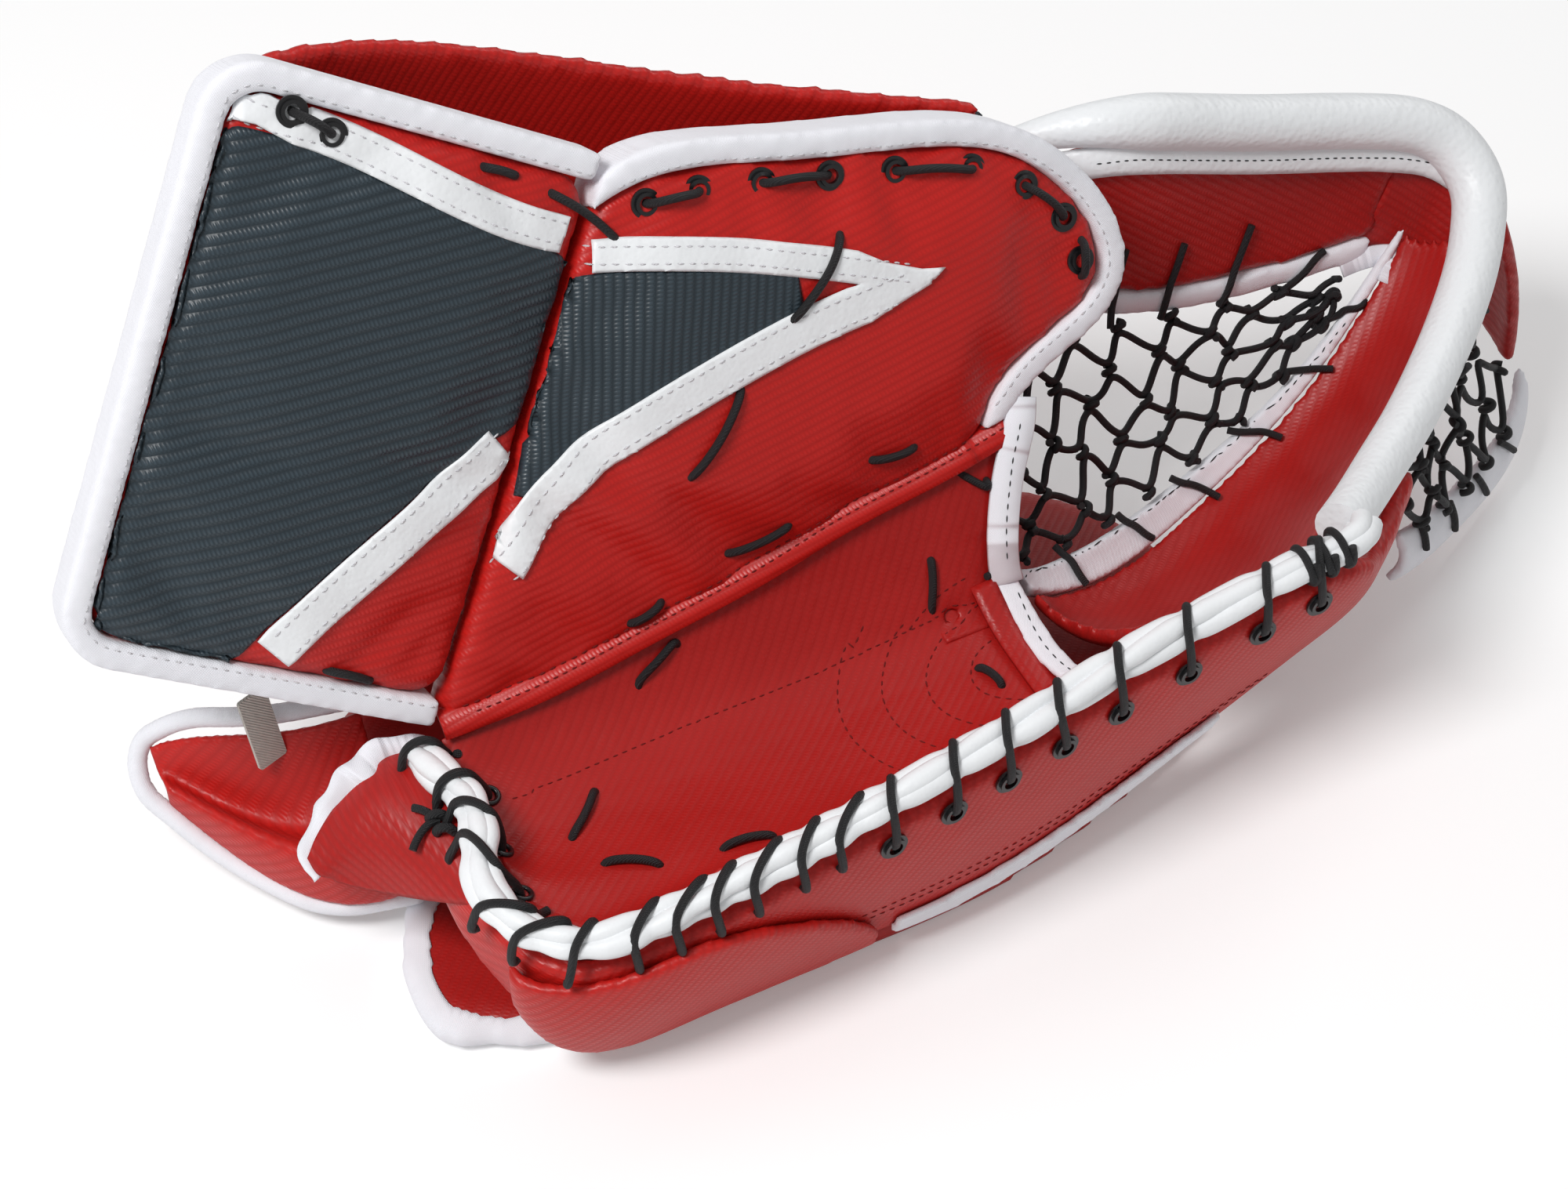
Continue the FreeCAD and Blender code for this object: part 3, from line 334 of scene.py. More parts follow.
# %% Vinyl finishes
def twill(name, colour, frame_matrix, turn=0.0, pitch=2.6, step=1.25, shine=0.36, depth=0.11,
          contrast=0.20):
    """Vinyl pressed with a twill. turn is the angle of its ribs in the frame, in degrees."""
    finish = Finish(name)
    turned = frame_matrix @ Matrix.Rotation(math.radians(turn), 4, "Z")
    point = finish.place(turned)
    u, v, _ = finish.axes(point)
    wander = finish.noise(point, 60, 2.0) - 0.5
    across = v.per(pitch) + wander * 0.25
    along = u.per(step) + across.math("FLOOR") * 0.5
    rib = (across.wave() * 0.5 + 0.5) ** 0.6
    steps = (along + across * 0.5).wave() * 0.5 + 0.5
    relief = rib * (0.45 + steps * 0.55)
    worn = finish.noise(finish.place(), 22, 4.0, 0.6)
    grain = finish.noise(finish.place(), 900, 2.0)
    # The colour follows the relief: the ribs are painted lighter as a painted sheen and the grooves
    # darker as painted shade, as strongly as contrast says. The worn noise on top is real wear.
    sheen_shade_and_wear = ((1 - contrast) + relief * contrast) * (0.86 + worn * 0.28)
    finish.wire("Base Color", finish.mix((sheen_shade_and_wear - 0.45) * 1.7, toned(colour, 0.55),
                                         toned(colour, 1.12, 0.004)))
    finish.wire("Roughness", shine + 0.10 - relief * 0.12 + (worn - 0.5) * 0.12)
    wrinkle = finish.noise(finish.place(), 35, 3.0, 0.55)
    finish.bump(relief * depth + grain * 0.03 + wrinkle * 1.1)
    finish.set(Specular_IOR_Level=0.38)
    return finish.material


RED = rgb(190, 24, 18)
# SHADED_RED is the board red made darker as painted shade, for the palm, the T and the heel tongue.
SHADED_RED = rgb(168, 20, 16)
CHARCOAL = rgb(54, 66, 74)
red_board = twill("red twill on the boards", RED, BOARD, 8)
red_cuff = twill("red twill on the cuff", RED, CUFF, -62)
red_wall = twill("red twill on the wall", RED, WALL, 52)
red_shell = twill("red twill on the back shell", RED, SHELL, -58)
# The palm and the T are cut from the shaded red, a darker copy of the red painted as shade.
shaded_red_palm = twill("red twill on the palm", SHADED_RED, PALM, 40, contrast=0.12, depth=0.07)
shaded_red_bar = twill("red twill of the T", SHADED_RED, WALL, -38)
charcoal_cuff = twill("charcoal twill on the cuff", CHARCOAL, CUFF, -62, 3.2, 1.2, 0.32, 0.30, 0.62)
charcoal_thumb = twill("charcoal twill on the thumb", CHARCOAL, BOARD, 74, 2.8, 1.2, 0.32, 0.28,
                       0.62)
print("twill vinyl in", len(bpy.data.materials), "materials so far")

# %% [markdown]
# ## White vinyl, cloth tape, lace and metal
# The stripes and the roll are smooth white vinyl with a fine pressed grain, slightly grey in the
# grooves. The bindings are a fine plain-woven tape with a cold white. The laces are waxed and
# braided, so they are nearly black with a soft sheen. The eyelets are lacquered metal.

# %% White vinyl and tape
def white_vinyl(name, colour, cells=750, depth=0.10, shine=0.42):
    """Smooth vinyl with pressed pores, a little soiled."""
    finish = Finish(name)
    point = finish.place()
    pores = finish.node("TexVoronoi", {"feature": "SMOOTH_F1"}, {"Vector": point, "Scale": cells})
    pit = finish.field(pores, "Distance")
    soil = finish.noise(point, 40, 5.0, 0.65)
    tone = (soil - 0.52) * 2.2
    worn = tone.clamp() * 0.5 + (1 - pit.clamp()) * 0.06
    finish.wire("Base Color", finish.mix(worn, colour, toned(colour, 0.80)))
    finish.wire("Roughness", shine + (soil - 0.5) * 0.2)
    finish.bump(pit * depth + finish.noise(point, 45, 3.0) * 0.9)
    return finish.material


def tape(name, colour, threads=0.55):
    """A fine woven tape: two sets of threads at right angles, seen as a small relief."""
    finish = Finish(name)
    point = finish.place(BOARD)
    warp, weft, _ = finish.axes(point)
    weave = warp.per(threads).wave() * weft.per(threads).wave()
    soil = finish.noise(point, 30, 4.0, 0.6)
    finish.wire("Base Color", finish.mix(((soil - 0.5) * 2.0).clamp(), colour,
                                         toned(colour, 0.88)))
    finish.wire("Roughness", 0.72 + weave * 0.05)
    finish.bump(weave * 0.05 + finish.noise(point, 70, 3.0) * 0.8)
    finish.set(Sheen_Weight=0.15)
    return finish.material


# %% Lace, metal and cloth
def braid(name, colour, scale=0.9, shine=0.5):
    """Braided lace or thread: two slanted waves that cross."""
    finish = Finish(name)
    point = finish.place()
    x, y, z = finish.axes(point)
    knit = (x + y + z).per(scale).wave() * (x - y + z).per(scale).wave()
    fuzz = finish.noise(point, 1500, 2.0)
    finish.wire("Base Color", finish.mix((knit * 0.3 + fuzz * 0.5).clamp(), colour,
                                         toned(colour, 2.4, 0.004)))
    finish.wire("Roughness", shine + fuzz * 0.2)
    finish.bump(knit * 0.12 + fuzz * 0.1)
    return finish.material


def lacquer(name, colour):
    """Lacquered metal, rubbed bare in places."""
    finish = Finish(name)
    haze = finish.noise(finish.place(), 300, 3.0)
    rub = finish.noise(finish.place(), 120, 4.0, 0.7)
    bare = (0.08, 0.08, 0.085, 1)
    finish.wire("Base Color", finish.mix(((rub - 0.62) * 4).clamp(), colour, bare))
    finish.wire("Roughness", 0.22 + haze * 0.14)
    finish.bump(haze * 0.03)
    finish.set(Specular_IOR_Level=0.7)
    return finish.material


def plain_cloth(name, colour, rib=0.8, rough=0.8):
    """Ribbed knit or raw leather."""
    finish = Finish(name)
    point = finish.place()
    x, _, z = finish.axes(point)
    line = (x + z).per(rib).wave()
    fuzz = finish.noise(point, 500, 3.0)
    finish.wire("Base Color", finish.mix((fuzz * 0.6 + line * 0.15).clamp(), colour,
                                         toned(colour, 1.5, 0.01)))
    finish.wire("Roughness", rough + fuzz * 0.1)
    finish.bump(line * 0.1 + fuzz * 0.2)
    return finish.material


# %% The other finishes
WHITE = rgb(240, 242, 244)
stripe_white = white_vinyl("white vinyl stripes", WHITE)
roll_white = white_vinyl("white pressed vinyl of the roll", WHITE, 520, 0.22)
rope_white = white_vinyl("white strips of the rolled edge", WHITE, 900, 0.08, 0.5)
tape_white = tape("cold white binding tape", rgb(243, 243, 249))
lace_black = braid("black waxed lace", rgb(20, 20, 22))
thread_white = braid("white thread", rgb(225, 224, 228), 0.5, 0.7)
thread_red = braid("dark red thread", rgb(120, 12, 10), 0.5, 0.7)
thread_dark = braid("charcoal thread", rgb(26, 28, 30), 0.5, 0.7)
eyelet_black = lacquer("black lacquered eyelets", rgb(18, 18, 20))
liner_dark = plain_cloth("dark knitted liner", rgb(38, 38, 42))
elastic_clear = plain_cloth("grey elastic", rgb(190, 186, 178), 1.0, 0.6)
print(len(bpy.data.materials), "materials")

# %% [markdown]
# ## From a solid to a skin
# A CAD solid has knife-sharp arrises, and leather never has. A merged copy of the solid is remeshed
# into even small cells, then smoothed a few times, which rounds every arris by about a cell. What
# the smoothing eats is given back by moving the points out along their normals.

# %% Copies and pieces
def merged_copy(*nodes):
    """A bmesh of the CAD solids with their doubled points merged."""
    bm = bmesh.new()
    for node in nodes:
        bm.from_mesh(frame["nodes"][node].data)
    bmesh.ops.remove_doubles(bm, verts=bm.verts, dist=0.00001)
    return bm


def piece(name, bm, material):
    """A finished object from a bmesh."""
    mesh = bpy.data.meshes.new(name)
    bm.to_mesh(mesh)
    bm.free()
    mesh.materials.append(material)
    mesh.shade_smooth()
    return placed(name, mesh)


def settle(made):
    """Bakes the modifiers of a piece into its mesh."""
    graph = bpy.context.evaluated_depsgraph_get()
    mesh = bpy.data.meshes.new_from_object(made.evaluated_get(graph))
    made.modifiers.clear()
    old = made.data
    made.data = mesh
    bpy.data.meshes.remove(old)
    mesh.shade_smooth()
    return made


@contextmanager
def opened(made):
    """The mesh of a piece as a bmesh, written back at the end of the block."""
    bm = bmesh.new()
    bm.from_mesh(made.data)
    yield bm
    bm.to_mesh(made.data)
    bm.free()


# %% Softening
def in_order(bm):
    """Sorts a mesh by place, because extrude and spin number their parts anew in each run."""
    slope = Vector((1.0, 1.7, 2.9))
    bm.verts.sort(key=lambda v: v.co.dot(slope))
    bm.edges.sort(key=lambda e: (e.verts[0].co + e.verts[1].co).dot(slope))
    bm.faces.sort(key=lambda f: f.calc_center_median().dot(slope))


def smooth(bm, verts, rounds, along_x=True):
    for _ in range(rounds):
        bmesh.ops.smooth_vert(bm, verts=verts, factor=0.5, use_axis_x=along_x,
                              use_axis_y=True, use_axis_z=True)


def soften(made, rounds, grow=0.0):
    """Smooths a mesh and moves its points out by grow millimetres."""
    with opened(made) as bm:
        smooth(bm, bm.verts, rounds)
        bm.normal_update()
        if grow:
            for vert in bm.verts:
                vert.co += vert.normal * (grow * MM)
    return made


def walled(made, thick=1.0, side=-1):
    """Gives a sheet its thickness in millimetres, inwards (-1) or to both sides (0)."""
    wall = made.modifiers.new("thickness", "SOLIDIFY")
    wall.thickness = thick * MM
    wall.offset = side
    return settle(made)


def skin(name, nodes, material, cell=2.0, rounds=3, grow=0.0):
    """A soft piece that stands for one or more CAD solids."""
    made = piece(name, merged_copy(*nodes), material)
    remesh = made.modifiers.new("cells", "REMESH")
    remesh.mode = "VOXEL"
    remesh.voxel_size = cell * MM
    settle(made)
    soften(made, rounds, grow)
    if not made.data.materials:
        made.data.materials.append(material)
    return made


# %% Bodies and surfaces
def stands_for(made, body, nodes, slot):
    """Puts a piece on its body in place of its CAD nodes, or bakes its place in when given a blend.
    """
    if isinstance(body, str):
        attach(made, body)
    else:
        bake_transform(made)
    if nodes:
        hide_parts(*nodes)
    print(f"{made.name}: {len(made.data.polygons)} faces")
    return made


def surface_of(*names):
    """A tree that answers where a ray meets these pieces."""
    bm = bmesh.new()
    for name in names:
        bm.from_mesh(bpy.data.objects[name].data)
    tree = BVHTree.FromBMesh(bm)
    bm.free()
    return tree


print("helpers for soft pieces")

# %% [markdown]
# ## Padding
# The boards are stuffed. Cloth with air pressure inside swells exactly like stuffing: it crowns in
# the middle and stays down where it is sewn. The sewn rim and the back are pinned, the face is
# free, and no point may move further than a cap.

# %% Inflating
LAST_FRAME = 20


def inflate(made, out, cap, pressure=4.0, hold=0.6):
    """Swells the side of a piece that looks along out, by cap millimetres at most."""
    mesh = made.data
    start = [v.co.copy() for v in mesh.vertices]
    pinned = made.vertex_groups.new(name="sewn")
    pinned.add([v.index for v in mesh.vertices if v.normal.dot(out) < hold], 1.0, "REPLACE")
    cloth = made.modifiers.new("stuffing", "CLOTH")
    rules = cloth.settings
    rules.vertex_group_mass = "sewn"
    rules.use_pressure = True
    rules.uniform_pressure_force = pressure
    rules.quality = 5
    rules.mass = 0.2
    rules.tension_stiffness = 12
    rules.compression_stiffness = 12
    rules.bending_stiffness = 0.4
    rules.shrink_min = -0.03
    rules.effector_weights.gravity = 0
    cloth.point_cache.frame_start = 1
    cloth.point_cache.frame_end = LAST_FRAME
    scene = bpy.context.scene
    for number in range(1, LAST_FRAME + 1):
        scene.frame_set(number)
    graph = bpy.context.evaluated_depsgraph_get()
    swollen = made.evaluated_get(graph).to_mesh()
    moved = [v.co.copy() for v in swollen.vertices]
    made.evaluated_get(graph).to_mesh_clear()
    made.modifiers.clear()
    made.vertex_groups.clear()
    furthest = 0.0
    for vert, a, b in zip(mesh.vertices, start, moved):
        shift = b - a
        if shift.length > cap * MM:
            shift = shift.normalized() * cap * MM
        furthest = max(furthest, shift.length)
        vert.co = a + shift
    scene.frame_set(1)
    print(f"{made.name} swells by up to {furthest / MM:.1f} mm")
    return soften(made, 2)


for name, node, body, material, cap, fill in (
        ("thumb_pad", "thumb_board", "thumb", red_board, 6.0, 0.8),
        ("cuff_pad", "cuff_board", "cuff", red_cuff, 5.0, 0.7)):
    made = skin(name, [node], material, 3.4, 3, 0.5)
    inflate(made, face_out, cap)
    stands_for(made, body, [node], "red_vinyl")

# %% [markdown]
# ## Panels sewn on the boards
# The stripes and the charcoal panels are flat sheets glued and stitched over the padding. Their
# outlines are the top faces of the CAD solids. Each is inset once, so that its edge can turn down,
# cut into a net of small cells, dropped onto the swollen board and given its thickness.

# %% Laying a sheet down
RAY_START = 0.03
RAY_LENGTH = 0.08
DEEPEST = 0.004
EDGE_DROP = 0.5


def drop(tree, point, out, lift):
    """The point moved along out until it lies on the skin, plus a lift."""
    hit = tree.ray_cast(point + out * RAY_START, -out, RAY_LENGTH)[0]
    if hit is None or (hit - point).dot(out) < -DEEPEST:
        near, normal, *_ = tree.find_nearest(point)
        return near + normal * (lift * MM)
    return hit + out * (lift * MM)


def to_crease(bm, reach=18.0, rest=2.0):
    """Pulls the points that are close to the crease right up to it."""
    home = CUFF.inverted()
    gaps = [abs((home @ v.co).y) / MM for v in bm.verts]
    nearest_gap = min(gaps)
    if nearest_gap > reach - 1:
        return
    for vert, gap in zip(bm.verts, gaps):
        if gap < reach:
            spot = home @ vert.co
            share = (gap - nearest_gap) / (reach - nearest_gap)
            spot.y = math.copysign((rest + (reach - rest) * share) * MM, spot.y)
            vert.co = CUFF @ spot


def widen(bm, out, width):
    """Moves the outline of flat faces outwards by width millimetres."""
    moves = {}
    for face in bm.faces:
        verts = [loop.vert for loop in face.loops]
        for before, vert, after in zip(verts[-1:] + verts, verts, verts[1:] + verts[:1]):
            tangent = (after.co - before.co).normalized()
            moves[vert] = tangent.cross(out) * (width * MM)
    for vert, move in moves.items():
        vert.co += move


# %% A sewn panel
def cut_across(bm, at, normal):
    bmesh.ops.bisect_plane(bm, geom=bm.verts[:] + bm.edges[:] + bm.faces[:], plane_co=at,
                           plane_no=normal)


def sewn_panel(name, node, board, tree, material, lift, grow, shape, cell=2.6, edge=0.9):
    """A flat sheet laid on a board, from the faces of a CAD solid that look out of it."""
    bm = merged_copy(node)
    out = board.to_3x3().col[2]
    hidden = [f for f in bm.faces if f.normal.dot(out) < 0.9]
    bmesh.ops.delete(bm, geom=hidden, context="FACES")
    bmesh.ops.dissolve_faces(bm, faces=bm.faces[:], use_verts=False)
    for face in bm.faces:
        if face.normal.dot(out) < 0:
            face.normal_flip()
    if shape:
        shape(bm)
    widen(bm, out, grow)
    to_crease(bm, rest=2.0 if grow > 1 else 0.5)
    bmesh.ops.inset_region(bm, faces=bm.faces[:], thickness=edge * MM, depth=0.0,
                           use_even_offset=True, use_boundary=True)
    home = board.inverted()
    spots = [home @ v.co for v in bm.verts]
    for k in range(2):
        low = min(p[k] for p in spots)
        high = max(p[k] for p in spots)
        count = int((high - low) / (cell * MM))
        normal = board.to_3x3().col[k]
        for step in range(1, count):
            cut_across(bm, board.translation + normal * (low + (high - low) * step / count),
                       normal)
    bmesh.ops.triangulate(bm, faces=[f for f in bm.faces if len(f.verts) > 4])
    for vert in bm.verts:
        vert.co = drop(tree, vert.co, out, lift - EDGE_DROP * vert.is_boundary)
    bmesh.ops.recalc_face_normals(bm, faces=bm.faces[:])
    if bm.faces[0].normal.dot(out) < 0:
        bmesh.ops.reverse_faces(bm, faces=bm.faces[:])
    return walled(piece(name, bm, material))


# %% Corners and points of the panels
def sharpen(bm, start=44.0, tip=70.0, middle=87.6):
    """Draws the end of the chevron out into a long narrow point."""
    home = BOARD.inverted()
    cut_across(bm, on(BOARD, start, 0), BOARD.to_3x3().col[0])
    bmesh.ops.dissolve_faces(bm, faces=bm.faces[:], use_verts=False)
    spots = {v: home @ v.co for v in bm.verts}
    reach = max(p.x for p in spots.values()) / MM
    for vert, spot in spots.items():
        if spot.x / MM > start + 0.01:
            share = (spot.x / MM - start) / (reach - start)
            spot.x = (start + (tip - start) * share) * MM
            spot.y = (middle + (spot.y / MM - middle) * (1 - 0.86 * share)) * MM
            vert.co = BOARD @ spot


def fill_corner(bm, corner=(6.0, 107.5)):
    """Rounds the cut corner of the cuff panel out towards the corner of the binding."""
    goal = on(CUFF, *corner)
    cut = min(bm.edges, key=lambda e: ((e.verts[0].co + e.verts[1].co) / 2 - goal).length)
    fresh = bmesh.ops.subdivide_edges(bm, edges=[cut], cuts=3)["geom_inner"]
    verts = [g for g in fresh if isinstance(g, bmesh.types.BMVert)]
    reach = max((v.co - goal).length for v in verts)
    for vert in verts:
        vert.co = vert.co.lerp(goal, 0.72 - 0.25 * ((vert.co - goal).length / reach > 0.98))


def reach_corner(bm):
    """Draws the far end of the upper stripe into the corner of the cuff."""
    home = CUFF.inverted()
    for vert in bm.verts:
        spot = home @ vert.co
        if spot.x > 0.13 and spot.y > 0.09:
            vert.co = CUFF @ (spot + Vector((2.5, 7.5, 0)) * MM)


# %% The four sheets
for name, node, board, material, lift, grow, shape, slot in (
        ("cuff_dark_sheet", "cuff_dark_panel", CUFF, charcoal_cuff, 1.0, 2.7, fill_corner,
         "charcoal_vinyl"),
        ("thumb_dark_sheet", "thumb_dark_panel", BOARD, charcoal_thumb, 1.0, 3.2, None,
         "charcoal_vinyl"),
        ("cuff_white_stripes", "cuff_stripes", CUFF, stripe_white, 1.7, 0.3, reach_corner,
         "white_vinyl"),
        ("thumb_white_stripes", "thumb_stripes", BOARD, stripe_white, 1.7, 0.3, sharpen,
         "white_vinyl")):
    body = name.split("_")[0]
    stands_for(sewn_panel(name, node, board, surface_of(body + "_pad"), material, lift, grow,
                          shape), body, [node], slot)

# %% [markdown]
# ## Bindings
# A binding is a strip of tape folded round an edge and sewn through. The CAD trims have its place
# and width, and a fine remesh with more smoothing turns their square arrises into the fold.

# %% Bindings
for name, node, body in (("thumb_tape", "thumb_binding", "thumb"),
                         ("cuff_tape", "cuff_binding", "cuff"),
                         ("bar_tape", "bar_binding", "bar"),
                         ("stem_tape", "stem_binding", "palm"),
                         ("palm_end_tape", "palm_end_binding", "palm"),
                         ("flap_tape", "flap_binding", "wrist_flap"),
                         ("back_pad_tape", "back_binding", "palm")):
    thin = node in ("stem_binding", "palm_end_binding", "back_binding", "flap_binding")
    made = skin(name, [node], tape_white, 1.1 if thin else 1.4, 2 if thin else 7,
                1.0 if name == "flap_tape" else 0.1)
    stands_for(made, body, [node], "binding_cloth" if node != "back_binding" else "white_vinyl")

# %% [markdown]
# ## Walls and shells
# The wall, the stem, the T bar, the shell and the flaps are one layer of vinyl over thin foam. They
# keep the shape of their solids, with soft edges.

# %% Walls and shells
for name, node, body, material, cell, slot in (
        ("finger_side_wall", "finger_wall", "palm", red_wall, 2.0, "red_vinyl"),
        ("back_shell_skin", "back_shell", "thumb", red_shell, 2.2, "red_vinyl"),
        ("bar_panel", "pocket_bar", "bar", shaded_red_bar, 2.0, "red_vinyl"),
        ("stem_sheet", "stem_band", "palm", shaded_red_palm, 1.4, "red_vinyl"),
        ("corner_cushion", "corner_pad", "palm", shaded_red_bar, 1.7, "red_vinyl"),
        ("outer_hoop", "outer_band", "palm", tape_white, 1.3, "binding_cloth"),
        ("heel_strap", "hand_strap", "hand_strap", red_wall, 1.3, "red_vinyl"),
        ("wrist_scoop", "wrist_flap", "wrist_flap", red_wall, 1.0, "red_vinyl"),
        ("palm_foam", "palm_pad", "palm", liner_dark, 3.0, "foam_liner"),
        ("thumb_sleeve", "thumb_stall", "thumb", liner_dark, 1.0, "foam_liner"),
        ("back_cushion", "back_pad", "palm", shaded_red_palm, 4.0, "red_vinyl")):
    made = skin(name, [node], material, cell, 1 if name in ("wrist_scoop", "stem_sheet") else 3,
                -0.8 if name == "palm_foam" else 0.3)
    stands_for(made, body, [node], slot)
    name in ("palm_foam", "back_cushion", "corner_cushion")

# %% [markdown]
# ## Sheets that cross a joint
# Leather that runs from one body to the next gets a blend of two bodies and two points, and is
# baked in place on neither. The break and the corner of the T each have one, used again below.

# %% Sheets that cross the break
BREAK_BLEND = ("palm", "thumb", (0, -0.0134, 0.056), (0, 0.008, 0.088))
HINGE = Vector(joints["bar_fold"]["pos_m"])
CORNER_BLEND = ("palm", "bar", HINGE + Vector((0.004, -0.036, 0.0)),
                HINGE + Vector((-0.012, 0.010, 0.0)))
# The palm leather takes the shaded red, painted shade.
palm_sheet = skin("palm_leather_sheet", ["palm_lining", "palm_break"], shaded_red_palm, 1.2, 4, 0.2)
with opened(palm_sheet) as bm:
    smooth(bm, [v for v in bm.verts if -0.030 < v.co.y < 0.004 and v.co.z < 0.072], 60, False)
stands_for(palm_sheet, BREAK_BLEND, ["palm_lining", "palm_break"], "palm_leather")
hand_gusset = skin("hand_gusset", ["back_gusset"], liner_dark, 1.3, 2, 0.1)
stands_for(hand_gusset, ("palm", "thumb", (0, 0, 0.013), (0, 0, 0.060)), ["back_gusset"],
           "foam_liner")

# %% Plain nodes that keep their CAD shape
for node, material in (("finger_dividers", liner_dark), ("cuff_liner", liner_dark),
                       ("elastic_tab", elastic_clear), ("thumb_eyelets", eyelet_black),
                       ("cuff_eyelets", eyelet_black), ("perimeter_eyelets", eyelet_black)):
    mesh = frame["nodes"][node].data
    mesh.materials.clear()
    mesh.materials.append(material)
print("plain nodes dressed")

# %% [markdown]
# ## Smooth runs
# Rolls, laces and rows of stitches all follow smooth lines. A run is a few points in millimetres,
# and a curve that passes through them all gives as many points as a piece needs.

# %% Runs
CURVE_STEPS = 16


def run_of(points, count):
    """Evenly spaced points on the smooth curve through the given ones, in metres."""
    spots = [Vector(p) for p in points]
    ends = [spots[0] * 2 - spots[1]] + spots + [spots[-1] * 2 - spots[-2]]
    fine = []
    for a, b, c, d in zip(ends, ends[1:], ends[2:], ends[3:]):
        for step in range(CURVE_STEPS):
            t = step / CURVE_STEPS
            fine.append(0.5 * (2 * b + (c - a) * t + (2 * a - 5 * b + 4 * c - d) * t * t
                               + (3 * b - a - 3 * c + d) * t ** 3))
    fine.append(spots[-1])
    lengths = [0.0]
    for a, b in zip(fine, fine[1:]):
        lengths.append(lengths[-1] + (b - a).length)
    even = []
    k = 0
    for number in range(count):
        want = lengths[-1] * number / (count - 1)
        while k < len(lengths) - 2 and lengths[k + 1] < want:
            k += 1
        share = (want - lengths[k]) / max(lengths[k + 1] - lengths[k], 1e-9)
        even.append(fine[k].lerp(fine[k + 1], min(share, 1.0)))
    return even


def mm(*places):
    """A point in metres from its millimetres."""
    return Vector(places) * MM


def millimetres(points):
    return [mm(*p) for p in points]


# %% Cords and rolls
def cord_mesh(name, lines, material, round_steps=3):
    """Round cords along lines. A line is a list of (point, radius in millimetres)."""
    curve = bpy.data.curves.new(name, "CURVE")
    curve.dimensions = "3D"
    curve.bevel_depth = MM
    curve.bevel_resolution = round_steps
    curve.use_fill_caps = True
    curve.resolution_u = 4
    for line in lines:
        spline = curve.splines.new("NURBS")
        spline.points.add(len(line) - 1)
        for spot, (point, radius) in zip(spline.points, line):
            spot.co = (*point, 1.0)
            spot.radius = radius
        spline.order_u = 4 if len(line) > 3 else 3
        spline.use_endpoint_u = True
    holder = placed(name + "_line", curve)
    graph = bpy.context.evaluated_depsgraph_get()
    mesh = bpy.data.meshes.new_from_object(holder.evaluated_get(graph))
    bpy.data.objects.remove(holder)
    bpy.data.curves.remove(curve)
    mesh.name = name
    mesh.materials.clear()
    mesh.materials.append(material)
    mesh.shade_smooth()
    return placed(name, mesh)


def even_radius(points, radius):
    return [(p, radius) for p in points]


def lacing(name, lines, body, node):
    """Black lace in place of the lace of a CAD node."""
    stands_for(cord_mesh(name, lines, lace_black), body, [node], "black_lace")


# %% Lofts
def loft(name, runs, across, along, material, thick=1.6):
    """A leather sheet that passes through a few runs of points in millimetres."""
    rows = [run_of(millimetres(run), along) for run in runs]
    columns = [run_of([row[k] for row in rows], across) for k in range(along)]
    bm = bmesh.new()
    bmesh.ops.create_grid(bm, x_segments=along - 1, y_segments=across - 1, size=0.5)
    for vert in bm.verts:
        i = round((vert.co.x + 0.5) * (along - 1))
        j = round((vert.co.y + 0.5) * (across - 1))
        vert.co = columns[i][j]
    return outward(walled(piece(name, bm, material), thick, 0))


def outward(made):
    """Turns the faces of a closed piece outwards."""
    with opened(made) as bm:
        bmesh.ops.remove_doubles(bm, verts=bm.verts, dist=0.000001)
        bmesh.ops.recalc_face_normals(bm, faces=bm.faces)
    return made


# %% Bands
def band(name, points, tops, section, material, width=lambda share: 1.0):
    """A strip along a run: its section, in millimetres, is extruded from point to point."""
    frames = []
    for k, point in enumerate(points):
        heading, side, top = frame_along(points, k, tops[k])
        size = width(k / (len(points) - 1))
        made = Matrix((side * size, top, heading)).transposed().to_4x4()
        made.translation = point
        frames.append(made)
    bm = bmesh.new()
    corners = [bm.verts.new(frames[0] @ Vector((x * MM, y * MM, 0))) for x, y in section]
    face = bm.faces.new(corners)
    for before, after in zip(frames, frames[1:]):
        grown = bmesh.ops.extrude_face_region(bm, geom=[face])["geom"]
        face = [g for g in grown if isinstance(g, bmesh.types.BMFace)][0]
        bmesh.ops.transform(bm, matrix=after @ before.inverted(), verts=face.verts[:])
    in_order(bm)
    return outward(piece(name, bm, material))


def frame_along(points, k, up=Vector((0, 0, 1))):
    """Heading, side and top of a run at one of its points."""
    a = points[max(k - 1, 0)]
    b = points[min(k + 1, len(points) - 1)]
    heading = (b - a).normalized()
    side = heading.cross(up).normalized()
    return heading, side, side.cross(heading)


